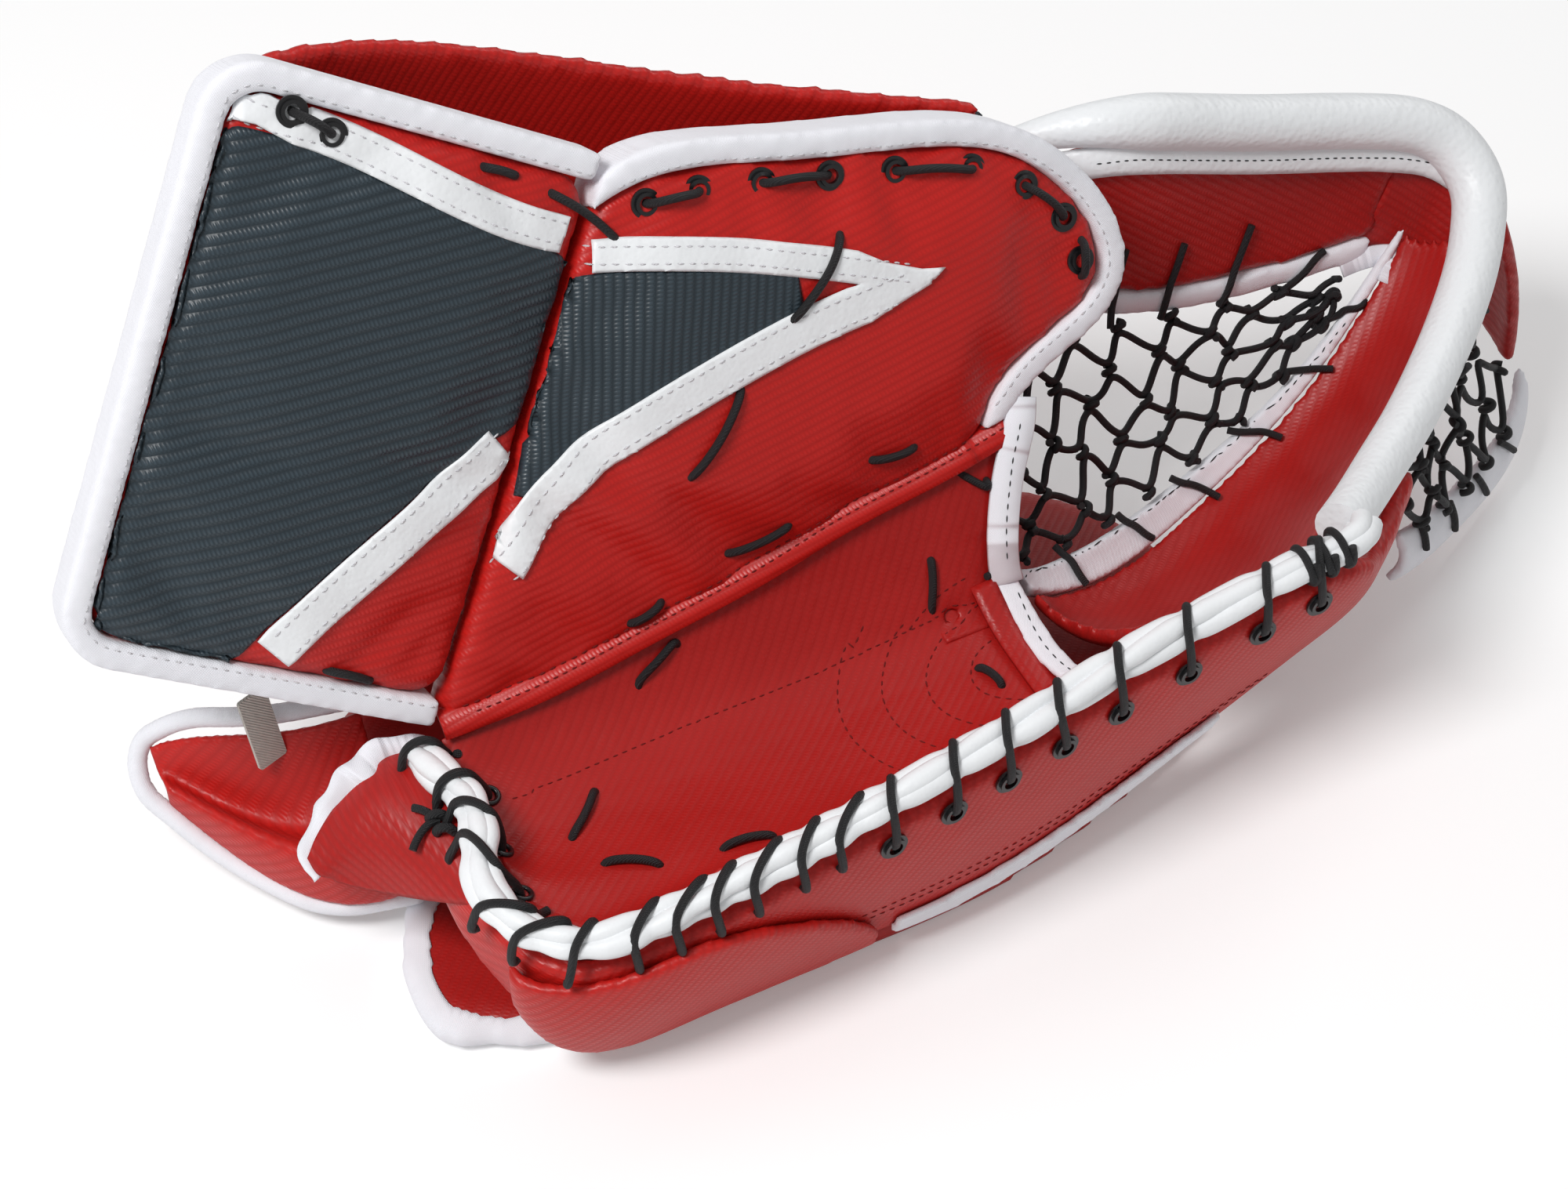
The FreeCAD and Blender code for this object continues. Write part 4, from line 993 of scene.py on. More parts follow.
# %% Hems
def hem(name, source, line, width, material, lift=0.7, above_floor=0.4):
    """A tape folded over the edge of a soft piece: the skin within width of a run, raised."""
    run = run_of(millimetres(line), 120)
    bm = bmesh.new()
    bm.from_mesh(bpy.data.objects[source].data)
    far = [f for f in bm.faces if min((f.calc_center_median() - p).length for p in run[::6])
           >= (width + 12) * MM]
    bmesh.ops.delete(bm, geom=far, context="FACES")
    bmesh.ops.subdivide_edges(bm, edges=bm.edges[:], cuts=1, use_grid_fill=True, smooth=0.6)

    def nearest_of(spot):
        return min(run, key=lambda p: (p - spot).length_squared)

    gone = [f for f in bm.faces
            if (f.calc_center_median() - nearest_of(f.calc_center_median())).length > width * MM]
    bmesh.ops.delete(bm, geom=gone, context="FACES")
    for vert in bm.verts:
        if vert.is_boundary:
            home = nearest_of(vert.co)
            vert.co = home + (vert.co - home).normalized() * (width * MM)
    smooth(bm, bm.verts, 3)
    bm.normal_update()
    for vert in bm.verts:
        vert.co += vert.normal * (lift * MM)
        vert.co.z = max(vert.co.z, above_floor * MM)
    return outward(walled(piece(name, bm, material)))


print("lofts, bands and hems")

# %% [markdown]
# ## Where the pieces meet
# At the break the board's skin is folded under and its raw lip lies over the palm. A tape closes
# the end of the palm, and small gussets fill the corners, so that no light comes through a seam.

# %% Lip, tapes and gussets
LIP_STEPS = 90
low_edge = all_on(BOARD, ((88, 32.5), (80, 30), (60, 26), (27, 21.5), (-6, 14.5), (-40, 9.5),
                          (-74, 4.5), (-100, 3.5), (-108, 3.5)), -0.2)
lip_run = run_of(low_edge, LIP_STEPS)
lean = (face_out + Vector((0, 0.15, 0.75))).normalized()
lip = band("break_lip", lip_run, [lean] * LIP_STEPS,
           [(-5.2, -1.6), (-5.0, -0.5), (-2, 0.9), (0, 1.3), (2.5, 1.0), (5.0, -0.6),
            (5.2, -1.6), (0, -0.4)], red_board)
stands_for(soften(lip, 1), BREAK_BLEND, [], "red_vinyl")


def flat_tape(name, line, steps, facing, section, blend, nodes):
    """A flat white tape along a run, in place of some CAD nodes or of none."""
    made = band(name, run_of(millimetres(line), steps), [facing] * steps, section, tape_white)
    stands_for(made, blend, nodes, "binding_cloth")


flat_tape("break_tape", [(90, 16.5, 105), (87, 11.5, 98), (80, 4.5, 86), (75, -2.5, 74),
                         (72, -9, 65), (71.5, -13, 60)], 40, unit(-0.25, -0.85, 0.45),
          [(-5, -0.5), (-4.5, 0.5), (0, 0.9), (4.5, 0.5), (5, -0.5), (0, -0.4)],
          BREAK_BLEND, ["break_binding"])
for name, runs, across, along, material, thick, body, slot in (
        ("palm_end_lip", [
            [(60, -10, 60), (60, -24, 54.5), (60, -40, 53), (60, -56, 53), (60, -70, 54)],
            [(68, -10, 61), (68, -24, 55), (68, -40, 53), (70, -56, 53), (73, -70, 54)]],
         4, 24, shaded_red_palm, 1.4, "palm", "palm_leather"),
        ("palm_corner_patch", [
            [(46, -21, 53.2), (54, -21, 53.0), (62, -21, 53.2)],
            [(46, -14, 54.0), (54, -14, 54.0), (62, -13, 55)],
            [(46, -8, 57.5), (54, -8, 58.0), (62, -7, 60)]],
         12, 12, shaded_red_palm, 1.2, BREAK_BLEND, "palm_leather"),
        ("corner_gusset", [
            [(236, 50.5, 82), (241, 50, 92), (246, 50, 104), (250, 51, 120)],
            [(246, 47, 80), (250, 47, 92), (255, 47, 104), (258, 49, 120)],
            [(254, 41, 76), (259, 42, 90), (263, 43, 104), (265, 45, 118)],
            [(258, 33, 74), (264, 34, 88), (268, 36, 102), (270, 38, 114)]],
         16, 16, shaded_red_bar, 2.0, CORNER_BLEND, "red_vinyl")):
    stands_for(loft(name, runs, across, along, material, thick), body, [], slot)
flat_tape("corner_tape", [(230, 46.5, 78), (237, 45.5, 79.5), (243, 43, 81), (246, 39, 82),
                          (244, 36.5, 80), (240, 34, 76.5)], 30, unit(-0.3, -0.75, 0.6),
          [(-3.6, -0.5), (-3.2, 0.5), (0, 0.9), (3.2, 0.5), (3.6, -0.5), (0, -0.5)],
          CORNER_BLEND, [])

# %% [markdown]
# ## The roll round the T
# One padded roll runs from behind the thumb tip, along the bar, round the corner and down the stem
# to the laced edge. It is thin where it comes out, full along the bar and flatter down the stem.
# Its line is one piece.

# %% Roll
roll_line = millimetres([
    (119, 77, 149), (133.5, 70.6, 153), (153, 63, 154), (197, 60, 140), (232, 56, 131),
    (254, 51, 125), (265, 44, 118), (268, 32, 109), (261, 20, 101), (249, 7, 95),
    (228, -11, 91), (202, -31, 90), (179, -47, 92), (161, -60, 96), (148, -69, 100)])
ROLL_STEPS = 60
roll_points = run_of(roll_line, ROLL_STEPS)
roll = []
for k, point in enumerate(roll_points):
    share = k / (ROLL_STEPS - 1)
    thin_end = min(1.0, 0.45 + share * 4.5)
    flat_stem = 1 - 0.16 * max(0.0, share - 0.5) * 2
    roll.append((point, 8.9 * thin_end * flat_stem))
stands_for(cord_mesh("t_roll", [roll], roll_white, 8), CORNER_BLEND,
           ["bar_roll", "corner_roll", "stem_roll"], "white_vinyl")

# %% Flange of the roll
flange_rows = []
for back, down in ((-2.5, 6.5), (-5.5, 10.5), (-6.3, 15.5)):
    flange_rows.append([p / MM + Vector((0, back, -down)) for p in roll_points[2:37:3]])
stands_for(loft("flange_strip", flange_rows, 6, 60, roll_white, 1.5), CORNER_BLEND,
           ["roll_flange"], "white_vinyl")

# %% [markdown]
# ## The laced edge
# The edge of the wall is a bundle of four folded white strips. They lie side by side with a slow
# twist, so each is a cord that winds round the middle line of the edge a little off its centre.

# %% Rolled edge
edge_line = millimetres([
    (-116, -1, 68), (-114, -14, 70), (-111, -26, 71), (-113, -39, 71), (-118, -51, 70),
    (-118, -63, 69), (-110, -76, 67), (-91, -85, 67), (-42, -87, 75), (27, -83, 85),
    (87, -79, 95), (142, -79, 104), (152, -74, 103)])
EDGE_STEPS = 120
edge_points = run_of(edge_line, EDGE_STEPS)


def islands_of(node):
    """The middle of each separate solid of a CAD node."""
    bm = merged_copy(node)
    middles = []
    left = set(bm.verts)
    for first in bm.verts:
        if first not in left:
            continue
        left.remove(first)
        group = [first]
        for vert in group:
            for edge in vert.link_edges:
                other = edge.other_vert(vert)
                if other in left:
                    left.remove(other)
                    group.append(other)
        middles.append(sum((v.co for v in group), Vector()) / len(group))
    bm.free()
    return sorted(middles, key=lambda p: p.x)


def nearest(points, spot):
    return min(range(len(points)), key=lambda k: (points[k] - spot).length)


holes = islands_of("perimeter_eyelets")
print(len(holes), "eyelets in the wall")

# %% Where the lace crosses the edge
heel_turns = [millimetres(pair) for pair in (
    ((-122, -3, 62), (-106, -3, 64)), ((-118, -21, 63), (-101, -19, 64)),
    ((-119, -27, 62), (-103, -36, 64)), ((-122, -36, 61), (-108, -53, 64)),
    ((-125, -60, 60), (-107, -65, 64)), ((-119, -74, 58), (-103, -75, 64)),
    ((-109, -87, 57), (-97, -80, 65)))]
turns = []
for outside, inside in heel_turns:
    turns.append((outside, nearest(edge_points, outside), nearest(edge_points, inside), inside))
start = turns[-1][1] + 5
stop = nearest(edge_points, holes[0]) - 3
for step in range(6):
    k = int(start + (stop - start) * step / 5.6)
    turns.append((None, k, k + 4 + step % 2, None))
for hole in holes:
    k = nearest(edge_points, hole)
    turns.append((hole, k, min(k + 2, EDGE_STEPS - 1), None))
pinches = [(k + ahead) / 2 for _, k, ahead, _ in turns]
print(len(turns), "turns of lace over the edge")

# %% Strands of the edge
strands = []
for number in range(4):
    strand = []
    for k, point in enumerate(edge_points):
        heading, side, top = frame_along(edge_points, k)
        angle = math.radians(90 * number + 45 + k * 2.1) + 0.35 * math.sin(k * 0.17 + number * 2)
        squeeze = max(math.exp(-((k - p) / 0.9) ** 2) for p in pinches)
        lumps = noise.noise(Vector((k * 0.16, number * 3.1, 0)))
        wide = (1 + 0.22 * lumps) * (1.05 - 0.26 * squeeze)
        off = side * math.cos(angle) * 1.08 + top * math.sin(angle) * 0.92
        strand.append((point + off * (2.6 * (1.04 - 0.18 * squeeze) * MM), 3.0 * wide))
    strands.append(strand)
strands.append([(p - frame_along(edge_points, k)[2] * (0.3 * MM), 2.2)
                for k, p in enumerate(edge_points)])
stands_for(cord_mesh("rolled_edge", strands, rope_white, 4), "palm", ["rope_edge"],
           "white_vinyl")

# %% Perimeter lace
heel_leather = surface_of("palm_leather_sheet", "thumb_pad")
r = 6.3 * MM
lace_radius = 1.3
lines = []
for outside, k, ahead_k, inside in turns:
    heading, out, top = frame_along(edge_points, k)
    middle = edge_points[k]
    ahead = edge_points[ahead_k]
    ahead_out = frame_along(edge_points, ahead_k)[1]
    begin = outside if outside is not None else middle + out * (4.4 * MM) - top * (12.5 * MM)
    route = [begin - out * (1.5 * MM), begin + out * (1.6 * MM),
             middle + out * r * 0.98 - top * (3 * MM), middle + (out * 0.80 + top * 0.62) * r,
             middle.lerp(ahead, 0.5) + top * r * 1.03,
             ahead + (top * 0.72 - ahead_out * 0.72) * r]
    if inside is None:
        route += [ahead - ahead_out * r * 0.98 - top * (4 * MM),
                  ahead - ahead_out * r * 0.7 - top * (9 * MM)]
    else:
        hit, normal, *_ = heel_leather.find_nearest(inside)
        route += [inside.lerp(ahead, 0.35) + top * (1.5 * MM), hit + normal * (1.6 * MM),
                  hit - normal * (2.5 * MM)]
    lines.append(even_radius(route, lace_radius))
knot = mm(-120, -25, 66)
coil = []
for k in range(15):
    a = math.radians(55 * k)
    coil.append(knot + mm(2.4 * math.cos(a), 1.5 * (k - 7) * 0.55, 2.6 * math.sin(a)))
lines.append(even_radius(coil, 1.45))
for tail in (((-3, 1, 1), (-7, -1, -1), (-10, -4, -3)), ((-2, 4, 2), (-5, 7, 1))):
    lines.append(even_radius([knot] + [knot + mm(*p) for p in tail], 1.2))
LASHED = (110, 112, 114)
for k in LASHED:
    heading, out, top = frame_along(edge_points, k)
    ring = [edge_points[k] + heading * (0.25 * step * MM)
            + (out * math.cos(a) + top * math.sin(a)) * (6.4 * MM)
            for step, a in enumerate(math.radians(45 * n) for n in range(10))]
    lines.append(even_radius(ring, 1.2))
lacing("perimeter_lacing", lines, "palm", "perimeter_lace")

# %% Eyelets of the heel
def rings(name, spots, tree, material, body, slot, wide=2.6, wire=0.85):
    """Lacquered rings that lie on a skin."""
    bm = bmesh.new()
    for spot in spots:
        hit, normal, *_ = tree.find_nearest(spot)
        turn = normal.to_track_quat("Z", "Y").to_matrix().to_4x4()
        place = Matrix.Translation(hit + normal * (0.4 * MM)) @ turn
        tilt = Matrix.Translation((wide * MM, 0, 0)) @ Matrix.Rotation(math.pi / 2, 4, "X")
        wheel = bmesh.ops.create_circle(bm, segments=10, radius=wire * MM, matrix=place @ tilt)
        bmesh.ops.spin(bm, geom=wheel["verts"] + list({e for v in wheel["verts"]
                                                       for e in v.link_edges}),
                       cent=place.translation, axis=normal, angle=2 * math.pi, steps=22,
                       use_merge=True)
    bmesh.ops.recalc_face_normals(bm, faces=bm.faces)
    in_order(bm)
    return stands_for(piece(name, bm, material), body, [], slot)


rings("heel_eyelets", [inside for _, inside in heel_turns[:4]], heel_leather, eyelet_black,
      "palm", "black_eyelet")

# %% [markdown]
# ## The heel
# Below the wrist the leather is cut loose. The back pad ends in a lobe with a wide folded
# binding, and a thin tongue of leather curls away from the rolled edge with a crumpled white hem.
# Sheets are lofted through a few given runs.

# %% Heel
# The tongue takes the shaded red, painted shade.
tongue = loft("heel_panel", [
    [(-112, 3, 64), (-121, 6, 63), (-131, 4, 62), (-141, 1, 57), (-149, -2, 51), (-154, -5, 46)],
    [(-112, -12, 65), (-120, -9, 66), (-131, -8, 64), (-140, -9, 58), (-148, -10, 49),
     (-153, -10, 44)],
    [(-113, -34, 64), (-120, -30, 64), (-130, -25, 59), (-139, -19, 51), (-146, -14, 45),
     (-150, -12, 43)],
    [(-114, -56, 60), (-121, -50, 57), (-129, -38, 50), (-137, -26, 44), (-144, -18, 42),
     (-149, -13, 42)]], 24, 40, shaded_red_bar, 1.4)
stands_for(tongue, "palm", ["heel_tongue"], "red_vinyl")
HEM_STEPS = 60
hem_run = run_of(millimetres([
    (-111, 2, 66), (-117, 5, 65.5), (-124, 6, 64), (-130, 4.5, 65), (-137, 2, 61),
    (-144, 0, 55), (-150, -2, 50), (-154.5, -6, 45), (-153, -10, 42)]), HEM_STEPS)
tilt = [unit(0.25 * math.sin(k * 0.23), -0.55 + 0.35 * math.sin(k * 0.31 + 1),
             0.80 + 0.2 * math.cos(k * 0.19)) for k in range(HEM_STEPS)]
flat = [(-5, -0.5), (-2.5, 0.1), (0, 0.3), (2.5, 0.1), (5, -0.5), (5, -1.3), (0, -0.6),
        (-5, -1.3)]
crumple = band("heel_panel_hem", hem_run, tilt, flat, tape_white,
               lambda share: 0.35 + 0.75 * math.sin(math.pi * min(1, share * 1.1)) ** 0.6
               + 0.12 * math.sin(share * 31))
stands_for(crumple, "palm", [], "binding_cloth")
lobe = hem("heel_lobe_tape", "back_cushion", [
    (-121, -3, 6), (-129, -12, 6), (-135, -24, 6), (-138.5, -38, 6), (-137, -49, 6),
    (-131, -57, 6), (-122, -64, 6), (-108, -68, 6)], 9.5, tape_white)
stands_for(lobe, "palm", [], "binding_cloth")

# %% [markdown]
# ## Stitches
# Thread goes down and up through the leather, so a seam is a row of short stitches with small gaps.
# Each one is a stretched icosphere half sunk in the skin. A row follows a run, and every stitch is
# dropped onto the surface that it holds.

# %% Rows of stitches
def even_steps(points, step):
    """Two points for each stitch of a run."""
    length = sum((b - a).length for a, b in zip(points, points[1:]))
    return run_of(points, max(3, int(length / (step * MM)) * 2))


def row_on(tree, points, out, step=3.4, sink=0.05):
    """Pairs of points, one per stitch, along a run and on the skin."""
    spots = [drop(tree, p, out, sink) for p in even_steps(points, step)]
    return list(zip(spots[0::2], spots[1::2]))


def row_near(tree, points, step=3.4, sink=0.05):
    """Like row_on, for a surface that curves too much for one direction."""
    spots = []
    for p in even_steps(points, step):
        hit, normal, *_ = tree.find_nearest(p)
        spots.append(hit + normal * (sink * MM))
    return list(zip(spots[0::2], spots[1::2]))


def stitches(name, rows, material, body, slot, radius=0.32, stretch=0.62):
    """One piece with a stitch for every pair, apart from pairs that fell off an edge."""
    bm = bmesh.new()
    for a, b in (pair for row in rows for pair in row):
        run = b - a
        if not 0.3 * MM <= run.length <= 8 * MM:
            continue
        size = Matrix.Diagonal((radius * MM, radius * MM, run.length * stretch, 1))
        turn = run.to_track_quat("Z", "Y").to_matrix().to_4x4()
        place = Matrix.Translation((a + b) / 2) @ turn @ size
        bmesh.ops.create_icosphere(bm, subdivisions=1, radius=1.0, matrix=place)
    return stands_for(piece(name, bm, material), body, [], slot)


def sideways(points, out, width):
    """A run of board points moved to its left by width millimetres."""
    moved = []
    for k, point in enumerate(points):
        heading = (points[min(k + 1, len(points) - 1)] - points[max(k - 1, 0)]).normalized()
        moved.append(point + out.cross(heading) * (width * MM))
    return moved


thumb_edge = all_on(BOARD, (
    (-21, 145), (-14, 146), (6, 145), (32, 139), (61, 133), (83, 128), (106, 118), (123, 101),
    (132, 82), (132, 67), (124, 56), (111, 49), (97, 43), (85, 34)))
cuff_edge = all_on(CUFF, (
    (0, 3), (0, 50), (0, 97), (2, 106), (7, 111.5), (17, 114), (85, 114), (153, 114),
    (163, 111.5), (168, 106), (170, 97), (170, 50), (170, 3)))
upper_arm = all_on(BOARD, ((-37, 124), (2, 113.5), (38, 99), (62, 88.5)))
lower_arm = all_on(BOARD, ((-82, 40), (-44, 68.5), (-9, 78), (24, 84), (50, 86), (60, 86.5)))
top_stripe = all_on(CUFF, ((158, 106), (155.5, 99), (155.5, 78), (152, 56), (147, 28), (146, 3)))
low_stripe = all_on(CUFF, ((88, 3), (66, 20), (47, 34), (29, 46), (14, 53.5)))
low_seam = all_on(BOARD, ((80, 33), (60, 29), (27, 24.5), (-6, 17.5), (-40, 12.5), (-74, 7.5),
                          (-100, 6.5)))
print("edge of the thumb board", len(thumb_edge), "points")

# %% Seams of the boards
TAPE_INSET = 6.3
thumb_faces = surface_of("thumb_pad", "thumb_white_stripes", "thumb_dark_sheet", "thumb_tape")
cuff_faces = surface_of("cuff_pad", "cuff_white_stripes", "cuff_dark_sheet", "cuff_tape")
for body, tree, outline, count, stripes in (
        ("thumb", thumb_faces, thumb_edge, 50, ((upper_arm, 2.4), (lower_arm, 3.9))),
        ("cuff", cuff_faces, cuff_edge, 60, ((top_stripe, 3.0), (low_stripe, 3.9)))):
    rows = [row_on(tree, sideways(run_of(outline, count), face_out, -TAPE_INSET), face_out)]
    for run, width in stripes:
        for sign in (1, -1):
            rows.append(row_on(tree, sideways(run_of(run, 24), face_out, sign * width),
                               face_out)[1:-1])
    stitches(body + "_white_seams", rows, thread_white, body, "binding_cloth")
stitches("thumb_low_seam", [row_on(thumb_faces, low_seam, face_out)], thread_red, "thumb",
         "red_vinyl")

# %% Back of the shell
shell_faces = surface_of("back_shell_skin")
outline = [(-107, 108, 226), (-107, 115, 200), (-107, 116, 170), (-107, 113, 130),
           (-107, 109, 100), (-107, 103, 66), (-103, 101, 62.5), (-60, 102, 62), (-15, 105, 62),
           (35, 100, 63), (76, 90, 65), (99, 84, 63.5), (103, 84, 68), (103, 87, 100),
           (103, 86, 128), (103, 80, 152), (103, 76, 166)]
edge_run = run_of(millimetres(outline), 110)
outs = []
for p in edge_run:
    hit, normal, *_ = shell_faces.find_nearest(p + Vector((0, 0.02, 0)))
    outs.append((normal + Vector((0, 0.6, 0))).normalized())
fold = band("shell_edge_fold", edge_run, outs,
            [(-4, -0.4), (-3.4, 1.0), (0, 1.6), (3.4, 1.0), (4, -0.4), (3.4, -3.2), (-3.4, -3.2)],
            charcoal_cuff)
stands_for(soften(fold, 1), "thumb", [], "charcoal_vinyl")
rows = []
for inset in (8.0, 11.0):
    frame_row = [(x + inset * (1 if x < 0 else -1) * (abs(x) > 98), y + 6,
                  max(z, 62 + inset)) for x, y, z in outline]
    rows.append(row_near(shell_faces, millimetres(frame_row), 3.6))
for low, high_left, high_right in ((96, 128, 104), (126, 166, 132), (158, 202, 156)):
    arch = [(-99, 118, high_left), (-60, 124, high_left - 4), (-15, 120, (low + high_left) / 2),
            (35, 110, low + 6), (70, 98, low + 2), (96, 92, high_right - 8)]
    rows.append(row_near(shell_faces, millimetres(arch), 3.4))
stitches("shell_seams", rows, thread_dark, "thumb", "red_vinyl", 0.34)

# %% Seams of the palm
palm_skin = surface_of("palm_leather_sheet")
up = Vector((0, 0, 1))
rows = []
for reach in (18, 32, 46, 60):
    arc = [mm(64 - reach * math.sin(a), -38 + reach * 0.66 * math.cos(a), 60)
           for a in (math.radians(t) for t in range(6, 175, 12))]
    rows.append(row_on(palm_skin, [p for p in arc if -0.078 < p.y < -0.006], up, 3.0))
rows.append(row_on(palm_skin, millimetres([(-96, -20, 60), (-40, -18, 60), (20, -17, 60),
                                           (60, -16, 60)]), up, 3.0))
stitches("palm_quilting", rows, thread_red, BREAK_BLEND, "palm_leather", 0.28)

# %% Seams of the wall, the T and the trims
seam = row_near(surface_of("break_lip"), [p + lean * 0.002 for p in lip_run[::6]], 3.0)
stitches("break_lip_seam", [seam], thread_red, BREAK_BLEND, "red_vinyl", 0.3)
seam = row_near(surface_of("flange_strip"),
                [p + Vector((0, -0.0085, -0.0095)) for p in roll_points[4:34:2]], 3.0)
stitches("flange_seam", [seam], thread_dark, CORNER_BLEND, "white_vinyl", 0.26)
wall_skin = surface_of("finger_side_wall")
rows = [row_near(wall_skin, [mm(x, -88, z + rise) for x, z in (
    (-88, 30), (-40, 27), (20, 26), (80, 30), (130, 40))], 3.2) for rise in (0, 4)]
stitches("wall_seams", rows, thread_red, "palm", "red_vinyl", 0.3)
rows = []
for trim, run in (
        ("stem_tape", [(84, -6, 56), (112, 6, 46), (150, 17, 42), (190, 26, 50), (222, 34, 66)]),
        ("palm_end_tape", [(73, -14, 62), (71, -30, 56), (73, -50, 54), (77, -64, 54)]),
        ("break_tape", [(86, 11, 98), (80, 4, 86), (75, -3, 74), (72, -9, 65)])):
    rows.append(row_near(surface_of(trim),
                         [p + Vector((0, -0.006, 0.006)) for p in millimetres(run)], 3.4))
stitches("trim_seams", rows[:2], thread_dark, "palm", "binding_cloth", 0.24)
stitches("break_tape_seam", rows[2:], thread_dark, BREAK_BLEND, "binding_cloth", 0.24)

# %% [markdown]
# ## Laces of the boards
# A lace comes up through one eyelet and goes down the next, and the short ties come up through a
# slit, lie on the leather and go down again. Each is a round cord whose ends dive into the skin.

# %% Board laces
def hop(tree, out, a, b, height=1.7, dive=1.6):
    """A short lace from a to b that rises out of the skin and sinks back."""
    one = drop(tree, a, out, 0)
    two = drop(tree, b, out, 0)
    bow = out.cross((two - one).normalized()) * ((two - one).length * 0.05)
    route = [one - out * dive * MM, one + out * height * 0.55 * MM,
             drop(tree, one.lerp(two, 0.3), out, height) + bow,
             drop(tree, one.lerp(two, 0.7), out, height) + bow,
             two + out * height * 0.55 * MM, two - out * dive * MM]
    return even_radius(route, 1.3)


def hops(tree, board, pairs, *height):
    """A short lace for each pair of places on a board."""
    return [hop(tree, face_out, on(board, *a), on(board, *b), *height) for a, b in pairs]


lacing("thumb_edge_lacing", hops(thumb_faces, BOARD, (
    ((-13, 132), (3, 131)), ((22, 127.5), (43, 123.2)), ((63, 118.5), (87, 112)),
    ((103, 102), (114, 88.5)), ((116.6, 69), (118.6, 80))), 3.6), "thumb", "thumb_edge_laces")
lacing("thumb_short_ties", hops(thumb_faces, BOARD, (
    ((41, 107), (20, 88)), ((1, 73), (-20, 52)), ((52, 36), (37, 37)), ((8, 26), (-12, 23)),
    ((-35, 16), (-46, 13)))), "thumb", "thumb_ties")
lacing("cuff_lacing", hops(cuff_faces, CUFF, (((159, 90), (156, 78)),), 3.8)
       + hops(cuff_faces, CUFF, (((158, 34), (158, 24)), ((11, 37), (10, 23)))),
       "cuff", "cuff_laces")
lacing("crease_tie", hops(surface_of("cuff_pad", "thumb_pad"), CUFF,
                          (((156, 13), (148, -10)),), 2.0),
       ("thumb", "cuff", on(CUFF, 150, -6), on(CUFF, 150, 6)), "crease_lace")
lacing("palm_short_ties", [hop(palm_skin, up, mm(*a), mm(*b)) for a, b in (
    ((-72, -26, 60), (-85, -38, 60)), ((-81, -50, 60), (-67, -58, 60)),
    ((-49, -60, 60), (-34, -62, 60)), ((50, -33, 60), (53, -42, 60)),
    ((-33, -4, 75), (-48, -9, 70)), ((50, -8, 75), (46, -18, 65)))], BREAK_BLEND, "palm_ties")

# %% [markdown]
# ## The knotted nets
# The two windows of the pocket are filled with skate lace. Rows of lace zigzag from border to
# border, and where two rows meet they are knotted. Every other knot lies half a mesh along, which
# gives the diamonds. At the borders the laces cross the binding and end on the leather.

# %% A knotted net
BORDER_STEPS = 40
KNOT_RADIUS = 1.9 * MM
DRIFT = 5.0 * MM
FRINGE_LIFT = 1.25 * MM
FRINGE_REACH = 0.012


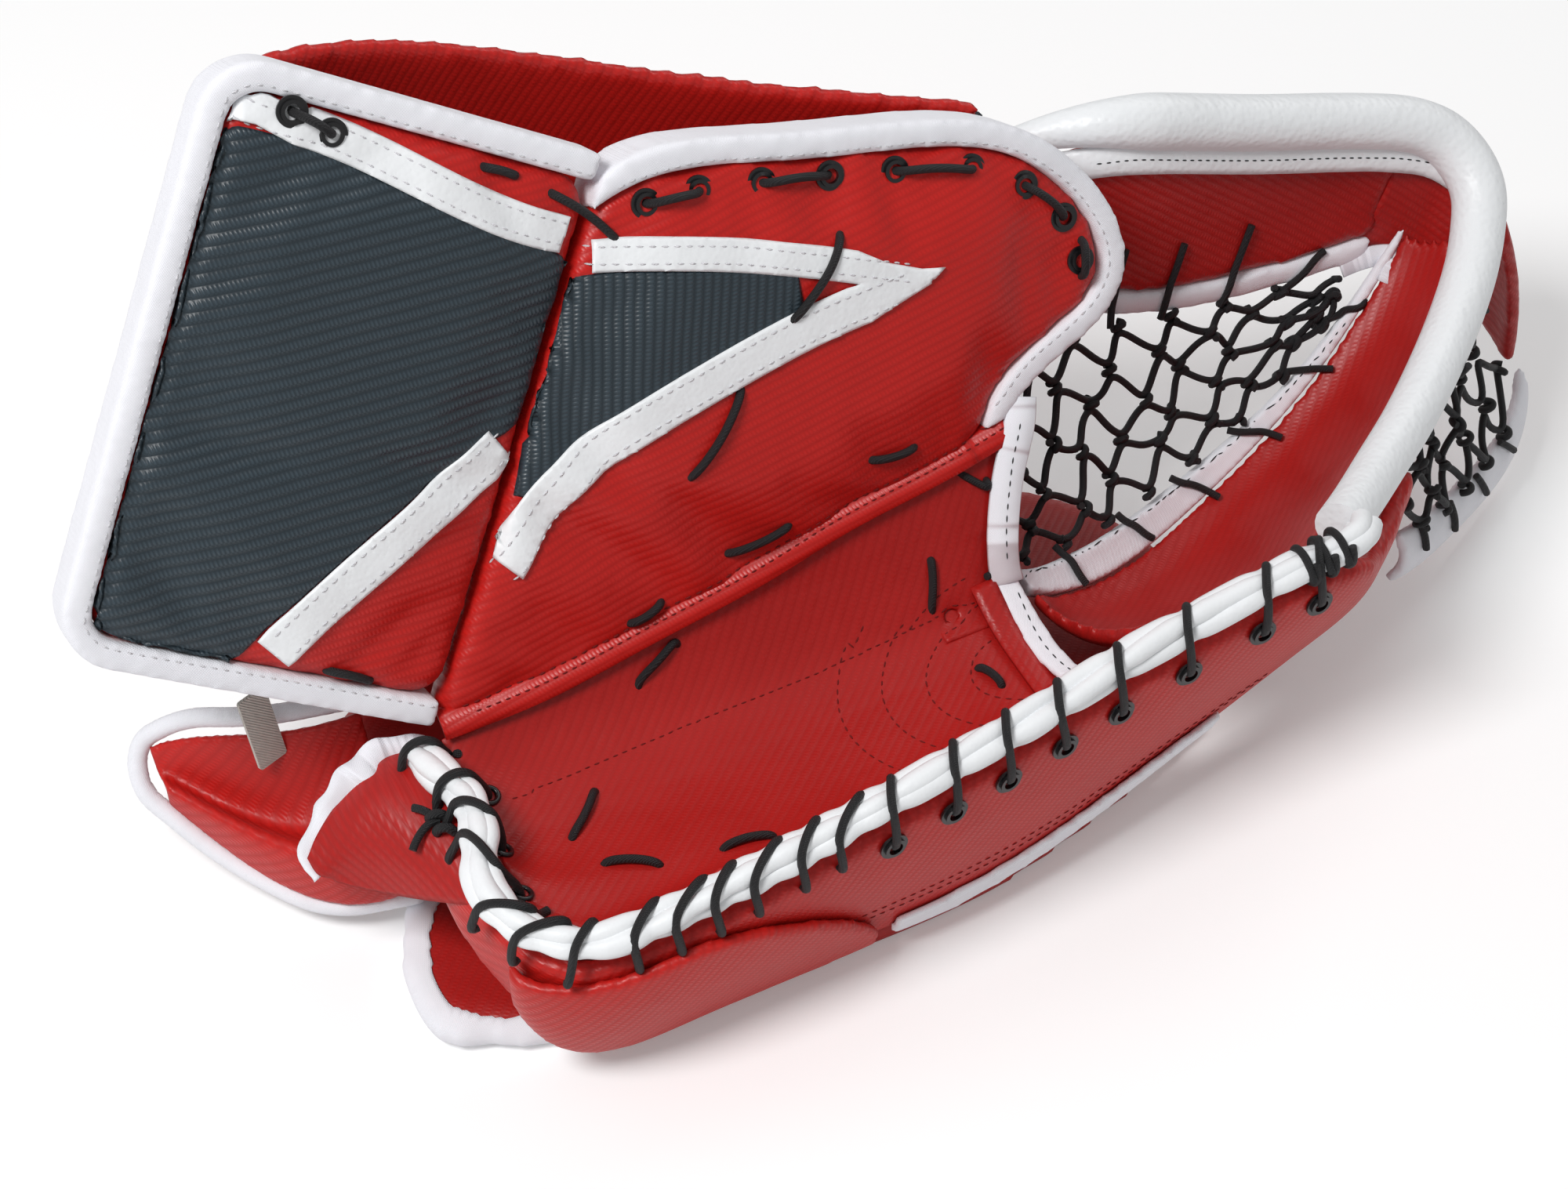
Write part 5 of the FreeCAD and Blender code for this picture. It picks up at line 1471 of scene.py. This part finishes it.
def net(name, head, foot, across, meshes, rows, sag, ends, borders, radius=1.2):
    """A knotted net between two runs. ends gives the lace ends as (side, place, dx, dy, dz)."""
    top = run_of(millimetres(head), BORDER_STEPS)
    low = run_of(millimetres(foot), BORDER_STEPS)
    halves = 2 * meshes

    def spot(s, t):
        """The point at a share s along the borders and t from the head to the foot."""
        k = min(max(s, 0.0), 1.0) * (BORDER_STEPS - 1)
        i = min(int(k), BORDER_STEPS - 2)
        a = top[i].lerp(top[i + 1], k - i)
        b = low[i].lerp(low[i + 1], k - i)
        bend = Vector((0, 0, -1)) * (sag * MM * 4 * t * (1 - t))
        drift = Vector([noise.noise((s * 7, t * 5, seed)) for seed in (1.3, 5.1, 9.7)])
        return a.lerp(b, t) + bend + drift * (DRIFT * min(1, 8 * t * (1 - t)))

    def level(row, step):
        """The border of a row that the zigzag touches at a step."""
        return row + (step + row) % 2

    lines = []
    for row in range(rows):
        route = []
        for step in range(halves + 1):
            here = spot(step / halves, level(row, step) / rows)
            lift = across * (0.9 * MM * (1 if step % 2 else -1))
            route.append((here + lift, radius))
            if step < halves:
                middle = (level(row, step) + level(row, step + 1)) / 2
                route.append((spot((step + 0.5) / halves, middle / rows), radius))
        lines.append(route)
    for row in range(rows + 1):
        for step in range(row % 2, halves + 1, 2):
            centre = spot(step / halves, row / rows)
            run = (spot((step + 0.6) / halves, row / rows) - centre).normalized()
            side = run.cross(across).normalized()
            knot = []
            for k in range(9):
                a = math.radians(50 * k + 37 * step)
                round_it = run * math.cos(a) + across * math.sin(a)
                knot.append(centre + round_it * KNOT_RADIUS + side * (k - 4) * 0.42 * MM)
            lines.append(even_radius(knot, radius))
    for side, place, *reach in ends:
        start = spot(place, 0.0 if side == "head" else 1.0)
        stop = start + mm(*reach)
        route = [start]
        for share in (0.2, 0.4, 0.6, 0.8, 1.0):
            at = start.lerp(stop, share)
            hit, normal, *_ = borders.find_nearest(at)
            if (hit - at).length < FRINGE_REACH:
                at = hit + normal * FRINGE_LIFT
            route.append(at)
        lines.append(even_radius(route, radius))
    return cord_mesh(name, lines, lace_black, 2)


# %% The two nets
inner_borders = surface_of("bar_panel", "bar_tape", "stem_sheet", "stem_tape", "break_tape",
                           "thumb_tape", "thumb_pad")
inner = net("inner_knotted_net",
            [(74, 14, 78), (90, 26, 92), (112, 38, 96), (140, 46, 88), (170, 47.5, 81),
             (200, 47.5, 77), (228, 45, 75)],
            [(74, -5, 60), (96, 2, 50), (120, 9, 44), (150, 19, 40), (180, 27, 45),
             (206, 33, 58), (226, 39, 72)],
            unit(0.1, -0.8, 0.6), 8, 5, 2.0,
            [("head", 0.02, -12, -6, 4), ("head", 0.14, -13, -6, 4), ("head", 0.26, -12, -3, 8),
             ("head", 0.48, 8, 2, 24), ("head", 0.60, 10, 2, 24), ("head", 0.74, 12, 2, 26),
             ("head", 0.88, 16, 2, 10), ("foot", 0.02, -10, -5, 3), ("foot", 0.16, 6, -16, -3),
             ("foot", 0.34, 12, -13, -2), ("foot", 0.50, 13, -12, 1), ("foot", 0.66, 13, -11, 3),
             ("foot", 0.82, 12, -9, 5), ("foot", 0.95, 14, -3, 4)], inner_borders)
stands_for(inner, ("palm", "bar", (0.150, 0.019, 0.042), (0.160, 0.044, 0.080)), ["inner_net"],
           "black_lace")
outer_borders = surface_of("outer_hoop", "stem_sheet", "t_roll", "corner_cushion")
outer = net("outer_knotted_net", [(196, -38, 80), (224, -16, 80), (254, 12, 84)],
            [(203, -40, 45), (240, -23, 35), (272, -4, 33)],
            unit(0.55, -0.8, 0.2), 5, 3, 0.0,
            [("foot", 0.1, 1, -3, -9), ("foot", 0.35, 2, -3, -11), ("foot", 0.6, 6, -3, -9),
             ("foot", 0.85, 8, -2, -6), ("head", 0.15, -2, -1, 9), ("head", 0.5, 1, -3, 10),
             ("head", 0.85, 3, -3, 9)], outer_borders)
stands_for(outer, "palm", ["outer_net"], "black_lace")
